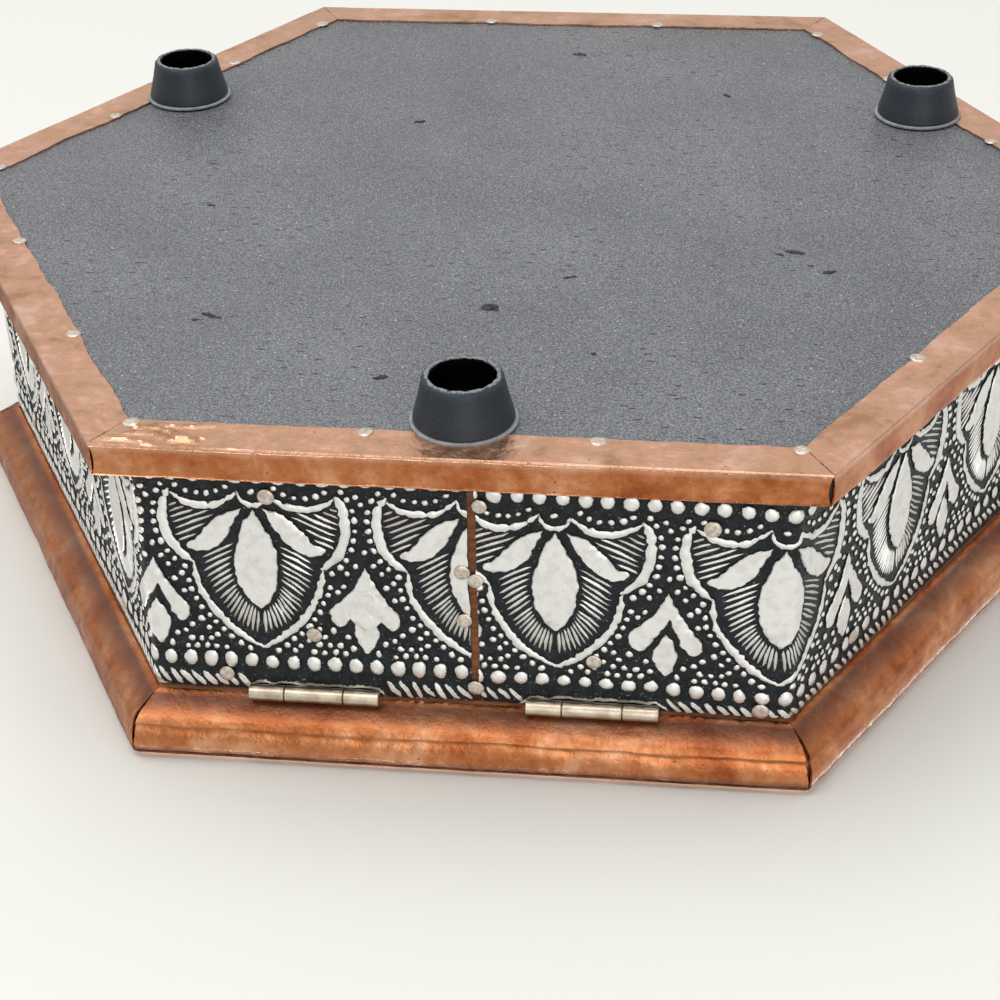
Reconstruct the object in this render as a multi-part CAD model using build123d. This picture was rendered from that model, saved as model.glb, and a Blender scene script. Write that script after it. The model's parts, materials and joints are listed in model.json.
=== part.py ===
from build123d import *
from math import radians, sin, tan, sqrt
import os

# Hexagonal trinket box standing on its feet: flats to the front (-Y) and back (+Y),
# hinges at the back, origin on the table under the middle of the box.
# A "reach" is a distance from the middle of the box square to one of its six sides.

# Heights from the table up
foot_height = 10.0          # table to the underside of the base edge strip
base_board_thick = 6.6
wall_height = 54.6
lid_seam = 0.4              # daylight between the wall tops and the lid frame
lid_frame_height = 5.2      # sloping moulding under the lid board
lid_board_thick = 5.8

# Plan
wall_reach = 109.5          # outer face of the wall boards
wall_thick = 6.0
base_overhang = 8.7         # edge strip of the base beyond the embossed sheet
lid_overhang = 7.9          # edge strip of the lid beyond the embossed sheet

# Copper edge strips
strip_thick = 0.4
strip_round = 1.2           # outer radius of the bent edges
base_strip_width = 9.7      # flat part seen on the underside of the base
base_ledge_gap = 0.2        # between the top of the base strip and the sheet
lid_strip_width = 9.8       # flat part on top of the lid
lid_bead_round = 2.2        # rounded arris between the lid's upright face and its slope
strip_mitre_gap = 0.15      # half of the open slit at each corner
strip_fit = 0.1             # looseness of the wood inside the strips

# Embossed sheets
sheet_thick = 1.0           # thin metal with its relief
sheet_top_gap = 0.6         # sheet ends this far below the wall tops
sheet_seam = 1.6            # open seam in the middle of the hinge wall
sheet_seam_x = 1.5
sheet_front_seam = 0.3
lid_sheet_thick = 0.4
lid_sheet_tuck = 5.4        # part of the lid sheet that lies under the copper

# Lining
felt_thick = 0.8
felt_clearance = 0.2

# Feet
foot_inset = 6.1            # foot axis inside the face of the embossed sheet
foot_base_radius = 9.7
foot_end_radius = 7.65
foot_hollow_mouth = 6.2
foot_hollow_floor = 5.0
foot_hollow_depth = 6.6
washer_radius = 10.35
washer_thick = 0.6
screw_shank = 1.4
screw_head_radius = 3.2
screw_head_thick = 1.2
screw_bite = 4.0            # length of screw inside the base board

# Small nails: round flat heads
nail_fit = 0.05
brad_head_radius = 1.5
brad_head_thick = 0.5
brad_shank = 0.55
brad_length = 3.6
brad_inset = 1.0            # nail axis from the inner edge of the copper
board_nail_head_radius = 1.3
board_nail_head_thick = 0.4
board_nail_length = 15.0
hinge_nail_head_radius = 1.0
hinge_nail_head_thick = 0.2
hinge_nail_shank = 0.5
hinge_body_nail_length = 8.0
hinge_lid_nail_length = 4.0

# Hinges
hinge_places = {"left": -31.0, "right": 24.8}
hinge_length = 26.4
knuckle_radius = 1.65
middle_knuckle = 11.8
knuckle_gap = 0.15
hinge_off_sheet = 0.15      # barrel clear of the sheet
leaf_thick = 0.4
leaf_depth = 5.5            # leaf from the wall face inwards
leaf_spacing = 0.35         # between the two closed leaves
leaf_fit = 0.1
pin_radius = 0.6
pin_fit = 0.05
hinge_body_nail_offset = 9.0
hinge_lid_nail_offset = 4.5

# Places of nails along a side, as shares of half its length, from its middle
base_brad_shares = {
    "back": (-0.986, -0.28, 0.406, 0.993),
    "back_right": (-0.33, 0.38),
    "front_right": (-0.92, -0.35, 0.36, 0.92),
    "front": (-0.38, 0.33),
    "front_left": (-0.92, -0.37, 0.32, 0.92),
    "back_left": (-0.38, 0.386),
}
lid_brad_shares = (-0.92, -0.32, 0.32)
board_nail_shares = {"back_left": -0.055, "back_right": -0.07, "front": 0.03}

# Nails in the sheets: share of half a side, and share of the wall's height
sheet_brad_shares = {
    "back": ((-0.775, 0.927), (-0.598, 0.150), (-0.482, 0.733), (-0.008, 0.429), (0.032, 0.462),
             (-0.006, 0.635), (0.051, 0.150), (0.0237, 0.932), (0.395, 0.787), (0.747, 0.200),
             (0.915, 0.968)),
    "back_right": ((-0.63, 0.888), (0.19, 0.164), (0.7, 0.879)),
    "front_right": ((-0.57, 0.174), (0.063, 0.896), (0.76, 0.888)),
    "front": ((-0.475, 0.164), (-0.041, 0.440), (0.045, 0.769), (0.522, 0.896)),
    "front_left": ((-0.712, 0.879), (-0.063, 0.164), (0.585, 0.888)),
    "back_left": ((-0.664, 0.879), (-0.142, 0.174), (0.649, 0.888)),
}
foot_sides = ("back", "front_left", "front_right")

# Direction of each side's outward normal, measured from the back
side_turns = {
    "back": 0, "back_left": 60, "front_left": 120, "front": 180, "front_right": 240, "back_right": 300,
}

# Levels that follow
base_board_low = foot_height + strip_thick
base_board_top = base_board_low + base_board_thick
base_strip_top = base_board_top + strip_thick
wall_top = base_board_top + wall_height
lid_low = wall_top + lid_seam
lid_board_low = lid_low + lid_frame_height
lid_board_top = lid_board_low + lid_board_thick
lid_sheet_top = lid_board_top + lid_sheet_thick
lid_top = lid_sheet_top + strip_thick
sheet_low = base_strip_top + base_ledge_gap
sheet_top = wall_top - sheet_top_gap
floor_top = base_board_top + felt_thick

# Reaches that follow
wall_inside = wall_reach - wall_thick
sheet_reach = wall_reach + sheet_thick
base_reach = sheet_reach + base_overhang
lid_reach = sheet_reach + lid_overhang
base_board_reach = base_reach - strip_thick - strip_fit
lid_board_reach = lid_reach - strip_thick - strip_fit
foot_reach = sheet_reach - foot_inset
base_strip_inner = base_reach - base_strip_width
lid_strip_inner = lid_reach - lid_strip_width
lid_sheet_reach = lid_strip_inner + lid_sheet_tuck
brad_reach = base_strip_inner + brad_inset
lid_brad_reach = lid_strip_inner + brad_inset
board_nail_reach = wall_reach - wall_thick / 2 - brad_shank
side_half = wall_reach * tan(radians(30))

# Nail places along each side, and heights of the nails in the sheets
base_brad_places = {side: [share * side_half for share in row] for side, row in base_brad_shares.items()}
lid_brad_places = [share * side_half for share in lid_brad_shares]
board_nail_places = {side: share * side_half for side, share in board_nail_shares.items()}
sheet_brad_places = {
    side: [(share * side_half, base_board_top + level * wall_height) for share, level in row]
    for side, row in sheet_brad_shares.items()
}

# Hinge axis: barrel outside the sheet, its top level with the lid leaf
hinge_reach = sheet_reach + hinge_off_sheet + knuckle_radius
body_leaf_top = wall_top - leaf_fit
lid_leaf_low = body_leaf_top + leaf_spacing
lid_leaf_top = lid_leaf_low + leaf_thick
hinge_level = lid_leaf_top - knuckle_radius
leaf_inner = wall_reach - leaf_depth
leaf_nail_reach = wall_reach - leaf_depth / 2

long_enough = 400.0


def hexagon(reach, low, high):
    """Upright hexagonal plate with flats to the front and back."""
    outline = RegularPolygon(radius=reach, side_count=6, major_radius=False)
    return Pos(0, 0, low) * extrude(outline, amount=high - low)


def side_wedge(gap):
    """Sixth of the plan behind the back side, with half a slit left at each corner."""
    half = long_enough * tan(radians(30))
    corner = gap / sin(radians(30))
    outline = make_face(Polyline((0, corner), (half, long_enough + corner), (-half, long_enough + corner),
                                 (0, corner)))
    return Pos(0, 0, -long_enough / 2) * extrude(outline, amount=long_enough)


def along_side(points, gap=0.0, rounds=()):
    """Bar of constant section, drawn as reach and height, mitred for one side."""
    section = make_face(Polyline(*points, points[0]))
    for place, radius in rounds:
        corner = section.vertices().sort_by_distance((place[0], place[1], 0))[0]
        section = fillet(corner, radius)
    bar = extrude(Plane.YZ * section, amount=long_enough / 4, both=True)
    return bar & side_wedge(gap)


def turned(solid, side):
    return Rot(0, 0, side_turns[side]) * solid


def upright_pin(x, reach, low, high, radius):
    return Pos(x, reach, low) * extrude(Circle(radius), amount=high - low)


def wall_pin(x, height, inner, outer, radius):
    """Round bar that points straight out of the back side."""
    plane = Plane(origin=(x, inner, height), x_dir=(1, 0, 0), z_dir=(0, 1, 0))
    return extrude(plane * Circle(radius), amount=outer - inner)


def brads_up(places, reach, face, head_radius, head_thick, length, shank=brad_shank):
    """Nails driven upwards from a face, head hanging below it."""
    nails = []
    for x in places:
        head = upright_pin(x, reach, face - head_thick, face, head_radius)
        nails.append(head + upright_pin(x, reach, face, face + length, shank))
    return nails


def brads_down(places, reach, face, head_radius, head_thick, length, shank=brad_shank):
    """Nails driven downwards into a face, head standing on it."""
    nails = []
    for x in places:
        head = upright_pin(x, reach, face, face + head_thick, head_radius)
        nails.append(head + upright_pin(x, reach, face - length, face, shank))
    return nails


def holes(places, reach, low, high, radius):
    return [upright_pin(x, reach, low, high, radius) for x in places]


def level_edges(solid):
    return solid.edges().filter_by(lambda e: abs(e.tangent_at(0).Z) < 0.5)


def cut(solid, tools):
    for tool in tools:
        solid = solid - tool
    return solid


def base_board():
    board = hexagon(base_board_reach, base_board_low, base_board_top)
    board = chamfer(level_edges(board), strip_round - strip_thick)
    for side, places in base_brad_places.items():
        tools = holes(places, brad_reach, base_board_low - 1, foot_height + brad_length + nail_fit,
                      brad_shank + nail_fit)
        board = cut(board, [turned(tool, side) for tool in tools])
    for side, place in board_nail_places.items():
        shank = upright_pin(place, board_nail_reach, base_board_low - 1, base_board_top + 1,
                            brad_shank + nail_fit)
        seat = upright_pin(place, board_nail_reach, base_board_low - 1,
                           base_board_low + board_nail_head_thick, board_nail_head_radius + nail_fit)
        board = cut(board, [turned(shank, side), turned(seat, side)])
    for side in foot_sides:
        bite = upright_pin(0, foot_reach, base_board_low - 1, foot_height + screw_bite + nail_fit,
                           screw_shank + nail_fit)
        board = board - turned(bite, side)
    return board


def wall(side):
    board = along_side(((wall_inside, base_board_top), (wall_reach, base_board_top),
                        (wall_reach, wall_top), (wall_inside, wall_top)))
    if side in board_nail_places:
        board = board - upright_pin(board_nail_places[side], board_nail_reach, base_board_top - 1,
                                    base_board_low + board_nail_length + nail_fit, brad_shank + nail_fit)
    for x, height in sheet_brad_places[side]:
        inner = sheet_reach - brad_length - nail_fit
        board = board - wall_pin(x, height, inner, wall_reach + 1, brad_shank + nail_fit)
    if side == "back":
        for x in hinge_places.values():
            board = board - leaf_seat(x, body_leaf_top - leaf_thick, wall_top + 1)
            board = cut(board, holes(body_nail_places(x), leaf_nail_reach,
                                     body_leaf_top - hinge_body_nail_length - nail_fit, wall_top,
                                     hinge_nail_shank + nail_fit))
    return turned(board, side)


def base_strip(side):
    """Copper bent round the edge of the base board."""
    ledge = sheet_reach + base_ledge_gap
    skin = strip_thick
    edge = base_reach
    top = base_strip_top
    low = foot_height
    points = ((base_strip_inner, low), (edge, low), (edge, top), (ledge, top),
              (ledge, top - skin), (edge - skin, top - skin), (edge - skin, low + skin),
              (base_strip_inner, low + skin))
    rounds = (((edge, low), strip_round), ((edge, top), strip_round),
              ((edge - skin, top - skin), strip_round - skin), ((edge - skin, low + skin), strip_round - skin))
    strip = along_side(points, strip_mitre_gap, rounds)
    strip = cut(strip, holes(base_brad_places[side], brad_reach, low - 1, low + skin + 1,
                             brad_shank + nail_fit))
    return turned(strip, side)


def lid_slope():
    """End points of the lid's copper slope on its outside, low end first."""
    low_end = (sheet_reach - 0.2, lid_low)
    high_end = (lid_reach, lid_board_low + 0.1)
    return low_end, high_end


def lid_strip(side):
    """Copper bent over the lid board and down the sloping moulding under it."""
    (low_reach, low), (edge, bend) = lid_slope()
    run = edge - low_reach
    rise = bend - low
    length = sqrt(run * run + rise * rise)
    inner_low = (low_reach - strip_thick * rise / length, low + strip_thick * run / length)
    inner_edge = edge - strip_thick
    inner_bend = inner_low[1] + (inner_edge - inner_low[0]) * rise / run
    under = lid_top - strip_thick
    points = ((lid_strip_inner, lid_top), (edge, lid_top), (edge, bend), (low_reach, low),
              inner_low, (inner_edge, inner_bend), (inner_edge, under), (lid_strip_inner, under))
    rounds = (((edge, lid_top), strip_round), ((inner_edge, under), strip_round - strip_thick),
              ((edge, bend), lid_bead_round), ((inner_edge, inner_bend), lid_bead_round - strip_thick))
    strip = along_side(points, strip_mitre_gap, rounds)
    strip = cut(strip, holes(lid_brad_places, lid_brad_reach, under - 1, lid_top + 1,
                             brad_shank + nail_fit))
    if side == "back":
        for x in hinge_places.values():
            notch = Pos(x, hinge_reach - knuckle_radius, lid_leaf_top) * Box(
                hinge_length + 2 * leaf_fit, 2 * knuckle_radius, 4 * leaf_thick)
            strip = strip - notch
    return turned(strip, side)


def lid_frame(side):
    """Sloping moulding between the lid board and the seam."""
    (low_reach, low), (edge, bend) = lid_slope()
    steepness = (bend - low) / (edge - low_reach)
    skin = strip_thick + strip_fit
    toe = low_reach - skin
    toe_level = low + skin
    shoulder = toe + (lid_board_low - toe_level) / steepness - skin
    bar = along_side(((wall_inside, lid_low), (toe - skin, lid_low), (toe, toe_level),
                      (shoulder, lid_board_low), (wall_inside, lid_board_low)))
    if side == "back":
        for x in hinge_places.values():
            bar = bar - leaf_seat(x, lid_low - 1, lid_leaf_top + nail_fit)
            bar = cut(bar, holes(lid_nail_places(x), leaf_nail_reach, lid_low,
                                 lid_leaf_low + hinge_lid_nail_length + nail_fit,
                                 hinge_nail_shank + nail_fit))
    return turned(bar, side)


def lid_board():
    middle = lid_board_low + lid_board_thick / 2
    board = hexagon(lid_board_reach, lid_board_low, lid_board_top)
    top = level_edges(board).filter_by(lambda e: e.center().Z > middle)
    board = chamfer(top, strip_round - strip_thick)
    low = level_edges(board).filter_by(lambda e: e.center().Z < middle)
    board = chamfer(low, lid_bead_round - 2 * strip_thick)
    tools = holes(lid_brad_places, lid_brad_reach, lid_top - brad_length - nail_fit, lid_top,
                  brad_shank + nail_fit)
    for side in side_turns:
        board = cut(board, [turned(tool, side) for tool in tools])
    return board


def lid_sheet():
    sheet = hexagon(lid_sheet_reach, lid_board_top, lid_sheet_top)
    tools = holes(lid_brad_places, lid_brad_reach, lid_board_top - 1, lid_sheet_top + 1,
                  brad_shank + nail_fit)
    for side in side_turns:
        sheet = cut(sheet, [turned(tool, side) for tool in tools])
    return sheet


def wall_sheets():
    """Two bent sheets that meet in the middle of the back and of the front wall."""
    ring = hexagon(sheet_reach, sheet_low, sheet_top) - hexagon(wall_reach, sheet_low - 1, sheet_top + 1)
    for side, places in sheet_brad_places.items():
        tools = [wall_pin(x, height, wall_reach - 1, sheet_reach + 1, brad_shank + nail_fit)
                 for x, height in places]
        ring = cut(ring, [turned(tool, side) for tool in tools])
    size = long_enough
    back_left = Pos(sheet_seam_x - sheet_seam / 2 - size / 2, size / 2, 0) * Box(size, size, size)
    back_right = Pos(sheet_seam_x + sheet_seam / 2 + size / 2, size / 2, 0) * Box(size, size, size)
    front_left = Pos(-sheet_front_seam / 2 - size / 2, -size / 2, 0) * Box(size, size, size)
    front_right = Pos(sheet_front_seam / 2 + size / 2, -size / 2, 0) * Box(size, size, size)
    return ring & (back_left + front_left), ring & (back_right + front_right)


def sheet_brads():
    nails = []
    for side, places in sheet_brad_places.items():
        for x, level in places:
            head = wall_pin(x, level, sheet_reach, sheet_reach + brad_head_thick, brad_head_radius)
            shank = wall_pin(x, level, sheet_reach - brad_length, sheet_reach, brad_shank)
            nails.append(turned(head + shank, side))
    return nails


def base_brads():
    nails = []
    for side, places in base_brad_places.items():
        row = brads_up(places, brad_reach, foot_height, brad_head_radius, brad_head_thick, brad_length)
        nails += [turned(nail, side) for nail in row]
    return nails


def lid_brads():
    nails = []
    for side in side_turns:
        row = brads_down(lid_brad_places, lid_brad_reach, lid_top, brad_head_radius, brad_head_thick,
                         brad_length)
        nails += [turned(nail, side) for nail in row]
    return nails


def board_nails():
    nails = []
    for side, place in board_nail_places.items():
        face = base_board_low + board_nail_head_thick
        row = brads_up((place,), board_nail_reach, face, board_nail_head_radius, board_nail_head_thick,
                       board_nail_length - board_nail_head_thick)
        nails += [turned(nail, side) for nail in row]
    return nails


def floor_felt():
    return hexagon(wall_inside - felt_clearance, base_board_top, floor_top)


def wall_felts():
    """Thin padded panel on the inside of each wall."""
    panel = along_side(((wall_inside - felt_thick, floor_top + felt_clearance),
                        (wall_inside, floor_top + felt_clearance),
                        (wall_inside, wall_top - felt_thick), (wall_inside - felt_thick, wall_top - felt_thick)),
                       felt_clearance)
    return [turned(panel, side) for side in side_turns]


def lid_felt():
    return hexagon(wall_inside - felt_clearance, lid_board_low - felt_thick, lid_board_low)


def foot():
    """Tapered rubber foot with a deep hollow and a screw hole in its floor."""
    top = foot_height - washer_thick
    solid = extrude_cone(foot_end_radius, foot_base_radius, 0.0, top)
    hollow = extrude_cone(foot_hollow_mouth, foot_hollow_floor, -0.01, foot_hollow_depth)
    return solid - hollow - upright_pin(0, 0, 0, foot_height, screw_shank + nail_fit)


def extrude_cone(low_radius, high_radius, low, high):
    return Pos(0, 0, (low + high) / 2) * Cone(low_radius, high_radius, high - low)


def washer():
    low = foot_height - washer_thick
    return upright_pin(0, 0, low, foot_height, washer_radius) - upright_pin(
        0, 0, low - 1, foot_height + 1, screw_shank + nail_fit)


def foot_screw():
    head_low = foot_hollow_depth - screw_head_thick
    head = upright_pin(0, 0, head_low, foot_hollow_depth, screw_head_radius)
    slot = Pos(0, 0, head_low) * Box(2 * screw_head_radius, 0.8, screw_head_thick)
    return head - slot + upright_pin(0, 0, foot_hollow_depth, foot_height + screw_bite, screw_shank)


def at_foot(solid, side):
    return turned(Pos(0, foot_reach, 0) * solid, side)


def leaf_seat(x, low, high):
    """Shallow seat for a hinge leaf in the wood."""
    depth = leaf_depth + long_enough / 8
    return Pos(x, leaf_inner - leaf_fit + depth / 2, (low + high) / 2) * Box(
        hinge_length + 2 * leaf_fit, depth, high - low)


def body_nail_places(x):
    return (x - hinge_body_nail_offset, x + hinge_body_nail_offset)


def lid_nail_places(x):
    return (x - hinge_lid_nail_offset, x + hinge_lid_nail_offset)


def barrel(start, end, radius):
    plane = Plane(origin=(start, hinge_reach, hinge_level), x_dir=(0, 1, 0), z_dir=(1, 0, 0))
    return extrude(plane * Circle(radius), amount=end - start)


def leaf_plate(start, end, outer, low):
    return Pos((start + end) / 2, (leaf_inner + outer) / 2, low + leaf_thick / 2) * Box(
        end - start, outer - leaf_inner, leaf_thick)


def knuckles(x, spans, low):
    """Knuckles of one leaf, each with the web that joins it to the leaf's plate."""
    bore = barrel(x - hinge_length, x + hinge_length, pin_radius + pin_fit)
    plate = leaf_plate(x - hinge_length / 2, x + hinge_length / 2, sheet_reach - leaf_fit, low)
    for start, end in spans:
        web = leaf_plate(start, end, hinge_reach, low)
        plate = plate + web + barrel(start, end, knuckle_radius)
    return plate - bore


def body_leaf(x):
    half = hinge_length / 2
    inner = middle_knuckle / 2 + knuckle_gap
    leaf = knuckles(x, ((x - half, x - inner), (x + inner, x + half)), body_leaf_top - leaf_thick)
    return cut(leaf, holes(body_nail_places(x), leaf_nail_reach, body_leaf_top - 1, body_leaf_top + 1,
                           hinge_nail_shank + nail_fit))


def lid_leaf(x):
    half = middle_knuckle / 2
    leaf = knuckles(x, ((x - half, x + half),), lid_leaf_low)
    return cut(leaf, holes(lid_nail_places(x), leaf_nail_reach, lid_leaf_low - 1, lid_leaf_top + 1,
                           hinge_nail_shank + nail_fit))


def hinge_body_nails():
    nails = []
    for x in hinge_places.values():
        nails += brads_down(body_nail_places(x), leaf_nail_reach, body_leaf_top, hinge_nail_head_radius,
                            hinge_nail_head_thick, hinge_body_nail_length, hinge_nail_shank)
    return nails


def hinge_lid_nails():
    nails = []
    for x in hinge_places.values():
        nails += brads_up(lid_nail_places(x), leaf_nail_reach, lid_leaf_low, hinge_nail_head_radius,
                          hinge_nail_head_thick, hinge_lid_nail_length, hinge_nail_shank)
    return nails


def save(name, solids):
    shape = Compound(children=solids) if isinstance(solids, list) else solids
    export_step(shape, f"parts/{name}.step")
    print(f"{name}: {shape.volume:.0f} mm3")


os.makedirs("parts", exist_ok=True)

save("base_board", base_board())
for side in side_turns:
    save(f"wall_{side}", wall(side))
    save(f"base_strip_{side}", base_strip(side))
    save(f"lid_frame_{side}", lid_frame(side))
    save(f"lid_strip_{side}", lid_strip(side))

left_sheet, right_sheet = wall_sheets()
save("wall_sheet_left", left_sheet)
save("wall_sheet_right", right_sheet)
save("floor_felt", floor_felt())
save("wall_felts", wall_felts())
for side in foot_sides:
    save(f"foot_{side}", at_foot(foot(), side))
save("foot_washers", [at_foot(washer(), side) for side in foot_sides])
save("foot_screws", [at_foot(foot_screw(), side) for side in foot_sides])
save("base_brads", base_brads())
save("board_nails", board_nails())
save("sheet_brads", sheet_brads())

save("lid_board", lid_board())
save("lid_sheet", lid_sheet())
save("lid_felt", lid_felt())
save("lid_brads", lid_brads())

for name, x in hinge_places.items():
    save(f"hinge_{name}_body_leaf", body_leaf(x))
    save(f"hinge_{name}_lid_leaf", lid_leaf(x))
    save(f"hinge_{name}_pin", barrel(x - hinge_length / 2, x + hinge_length / 2, pin_radius))
save("hinge_body_nails", hinge_body_nails())
save("hinge_lid_nails", hinge_lid_nails())
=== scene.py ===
import json
import random
from functools import partial
from math import cos, hypot, pi, radians, sin, tan

import bmesh
import bpy
import numpy as np
from mathutils import Euler, Matrix, Vector, noise

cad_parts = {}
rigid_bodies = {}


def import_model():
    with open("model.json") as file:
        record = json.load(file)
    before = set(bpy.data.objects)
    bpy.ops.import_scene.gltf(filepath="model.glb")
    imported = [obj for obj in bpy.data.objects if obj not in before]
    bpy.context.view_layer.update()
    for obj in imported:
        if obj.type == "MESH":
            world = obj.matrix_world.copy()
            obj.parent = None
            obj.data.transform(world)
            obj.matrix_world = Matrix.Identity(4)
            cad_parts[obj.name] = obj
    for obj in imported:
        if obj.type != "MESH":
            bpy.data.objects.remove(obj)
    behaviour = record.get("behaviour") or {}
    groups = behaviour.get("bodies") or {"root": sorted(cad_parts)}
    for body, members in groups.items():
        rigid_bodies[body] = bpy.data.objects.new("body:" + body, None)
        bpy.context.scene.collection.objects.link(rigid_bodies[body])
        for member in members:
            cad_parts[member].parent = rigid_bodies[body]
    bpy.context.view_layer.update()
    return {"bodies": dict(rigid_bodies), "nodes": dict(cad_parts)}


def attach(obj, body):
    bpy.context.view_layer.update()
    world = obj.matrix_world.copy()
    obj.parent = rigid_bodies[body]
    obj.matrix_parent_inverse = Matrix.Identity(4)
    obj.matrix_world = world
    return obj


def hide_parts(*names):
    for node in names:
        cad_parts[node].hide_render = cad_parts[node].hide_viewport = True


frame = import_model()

nodes = frame["nodes"]
mm = 0.001
metre = 1000  # in mm: a pattern's scale is the metre over its real size
chance = random.Random(7)
sideTurns = {"back": 0, "back_left": 60, "front_left": 120, "front": 180,
             "front_right": 240, "back_right": 300}
slant = tan(radians(30))  # half a side for each unit of reach, the distance from the middle

bpy.ops.object.select_all(action="DESELECT")
print("frame loaded:", len(nodes), "nodes")


# Working with objects
def selectOnly(*objects):
    bpy.ops.object.select_all(action="DESELECT")
    for obj in objects:
        obj.select_set(True)
    bpy.context.view_layer.objects.active = objects[0]


def startEdit(obj):
    selectOnly(obj)
    bpy.ops.object.mode_set(mode="EDIT")
    bpy.ops.mesh.select_all(action="SELECT")


def endEdit():
    bpy.ops.object.mode_set(mode="OBJECT")


def pick(obj, test):
    bpy.ops.mesh.select_mode(type="VERT")
    shape = bmesh.from_edit_mesh(obj.data)
    for vert in shape.verts:
        vert.select = bool(test(vert.co))
    shape.select_flush_mode()
    bmesh.update_edit_mesh(obj.data)


def slide(x, y, z):
    bpy.ops.transform.translate(value=(x * mm, y * mm, z * mm))


def stretch(x, y, z):
    bpy.ops.transform.resize(value=(x, y, z), center_override=(0, 0, 0))


def drawOut(x, y, z, kind="edges"):
    extrude = bpy.ops.mesh.extrude_edges_move if kind == "edges" else bpy.ops.mesh.extrude_region_move
    extrude(TRANSFORM_OT_translate={"value": (x * mm, y * mm, z * mm)})


def cutAt(place, way, **settings):
    bpy.ops.mesh.select_all(action="SELECT")
    bpy.ops.mesh.bisect(plane_co=[part * mm for part in place], plane_no=way, **settings)


def evenNormals(inside=False):
    bpy.ops.mesh.select_all(action="SELECT")
    bpy.ops.mesh.normals_make_consistent(inside=inside)


def turnInsideOut(obj):
    startEdit(obj)
    bpy.ops.mesh.flip_normals()
    endEdit()


def hexagon(reach, fill):
    bpy.ops.mesh.primitive_circle_add(vertices=6, radius=reach / cos(radians(30)) * mm, fill_type=fill)
    obj = bpy.context.object
    obj.data.transform(turnZ(30))  # one side to the back
    return obj


def pointsOf(obj):
    points = np.empty(len(obj.data.vertices) * 3)
    obj.data.vertices.foreach_get("co", points)
    return points.reshape(-1, 3)


def setPoints(obj, points):
    obj.data.vertices.foreach_set("co", points.ravel())
    obj.data.update()


def setValues(obj, name, values):
    layer = obj.data.attributes.get(name) or obj.data.attributes.new(name, "FLOAT", "POINT")
    layer.data.foreach_set("value", np.asarray(values, np.float32))


def getValues(obj, name):
    values = np.zeros(len(obj.data.vertices), np.float32)
    obj.data.attributes[name].data.foreach_get("value", values)
    return values


def moved(x, y=0, z=0):
    return Matrix.Translation((x * mm, y * mm, z * mm))


def sized(x, y, z=1):
    return Matrix.Diagonal((x, y, z, 1))


def turnZ(angle):
    return Matrix.Rotation(radians(angle), 4, "Z")


def outwards(turn):
    return turnZ(turn) @ Vector((0, 1, 0))


def copyTo(obj, matrix):
    twin = obj.copy()
    twin.data = obj.data.copy()
    twin.data.transform(matrix)
    bpy.context.collection.objects.link(twin)
    return twin


def join(parts, name):
    selectOnly(*parts)
    if len(parts) > 1:
        bpy.ops.object.join()
    whole = bpy.context.object
    whole.name = whole.data.name = name
    return whole


def drop(*objects):
    for obj in objects:
        bpy.data.objects.remove(obj, do_unlink=True)


def cloudTexture(name, size, depth):
    texture = bpy.data.textures.new(name, "CLOUDS")
    texture.noise_scale = size * mm
    texture.noise_depth = depth
    return texture


def ripple(obj, texture, height, direction, group="", middle=0.5):
    wave = obj.modifiers.new("ripple", "DISPLACE")
    wave.texture = texture
    wave.texture_coords = "LOCAL"
    wave.direction = direction
    wave.strength = height * mm
    wave.mid_level = middle
    wave.vertex_group = group


def thicken(obj, thick):
    wall = obj.modifiers.new("thickness", "SOLIDIFY")
    wall.thickness = thick * mm
    wall.offset = -1


def applyModifiers(obj):
    selectOnly(obj)
    for modifier in list(obj.modifiers):
        bpy.ops.object.modifier_apply(modifier=modifier.name)


def finishPiece(obj, name, body, slot, material, *replaced, angle=40):
    applyModifiers(obj)
    bpy.ops.object.shade_smooth_by_angle(angle=radians(angle))
    obj.name = obj.data.name = name
    obj.data.materials.clear()
    obj.data.materials.append(material)
    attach(obj, body)
    if replaced:
        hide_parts(*replaced)
    return obj


def titled(words):
    return "".join(word.title() for word in words.split("_"))


def triangles(obj):
    return sum(len(face.vertices) - 2 for face in obj.data.polygons)


# Materials
def colour(code):
    parts = [int(code[i:i + 2], 16) / 255 for i in (1, 3, 5)]
    return [p / 12.92 if p <= 0.04045 else ((p + 0.055) / 1.055) ** 2.4 for p in parts] + [1.0]


# Values are sockets to link or constants to set, by name or number, or in the order of the inputs
def fillInputs(node, values):
    for key, value in values.items() if isinstance(values, dict) else enumerate(values):
        if isinstance(value, bpy.types.NodeSocket):
            node.id_data.links.new(value, node.inputs[key])
        else:
            node.inputs[key].default_value = value


def addNode(tree, kind, values=(), out=0, stops=(), **settings):
    made = tree.nodes.new("ShaderNode" + kind)
    for name, value in settings.items():
        setattr(made, name, value)
    fillInputs(made, values)
    if stops:
        elements = made.color_ramp.elements
        while len(elements) < len(stops):
            elements.new(0.5)
        for element, (place, code) in zip(elements, stops):
            element.position = place
            element.color = colour(code)
    return made.outputs[out] if made.outputs else made


def newMaterial(name):
    material = bpy.data.materials.new(name)
    material.use_nodes = True
    tree = material.node_tree
    return material, partial(addNode, tree), tree.nodes["Principled BSDF"]


# Copper sheet, hand bent: a satin warm metal with faint brassy patches, the flat faces painted lighter
# pinkish tan as painted light and the upright faces more orange and brown as painted shade, painted shade
# by the sheet and along the lid's lower edge, with scratches along the strip, dark specks and hair creases
copperLook = {"flat": ("#bd8b6c", "#d2a383", "#deaa8d", "#eabfa9"),
              "upright": ("#9a5430", "#b3693e", "#c47f53", "#d99d76"), "toneAt": (0.37, 0.44, 0.52, 0.61),
              "shares": (0.64, 0.3, 0.06), "soot": "#42190d",
              "patch": 15.0, "cloud": 3.4, "streak": 0.7, "speck": 2.4, "grain": 0.4,
              "roughness": (0.22, 0.4)}


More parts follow.
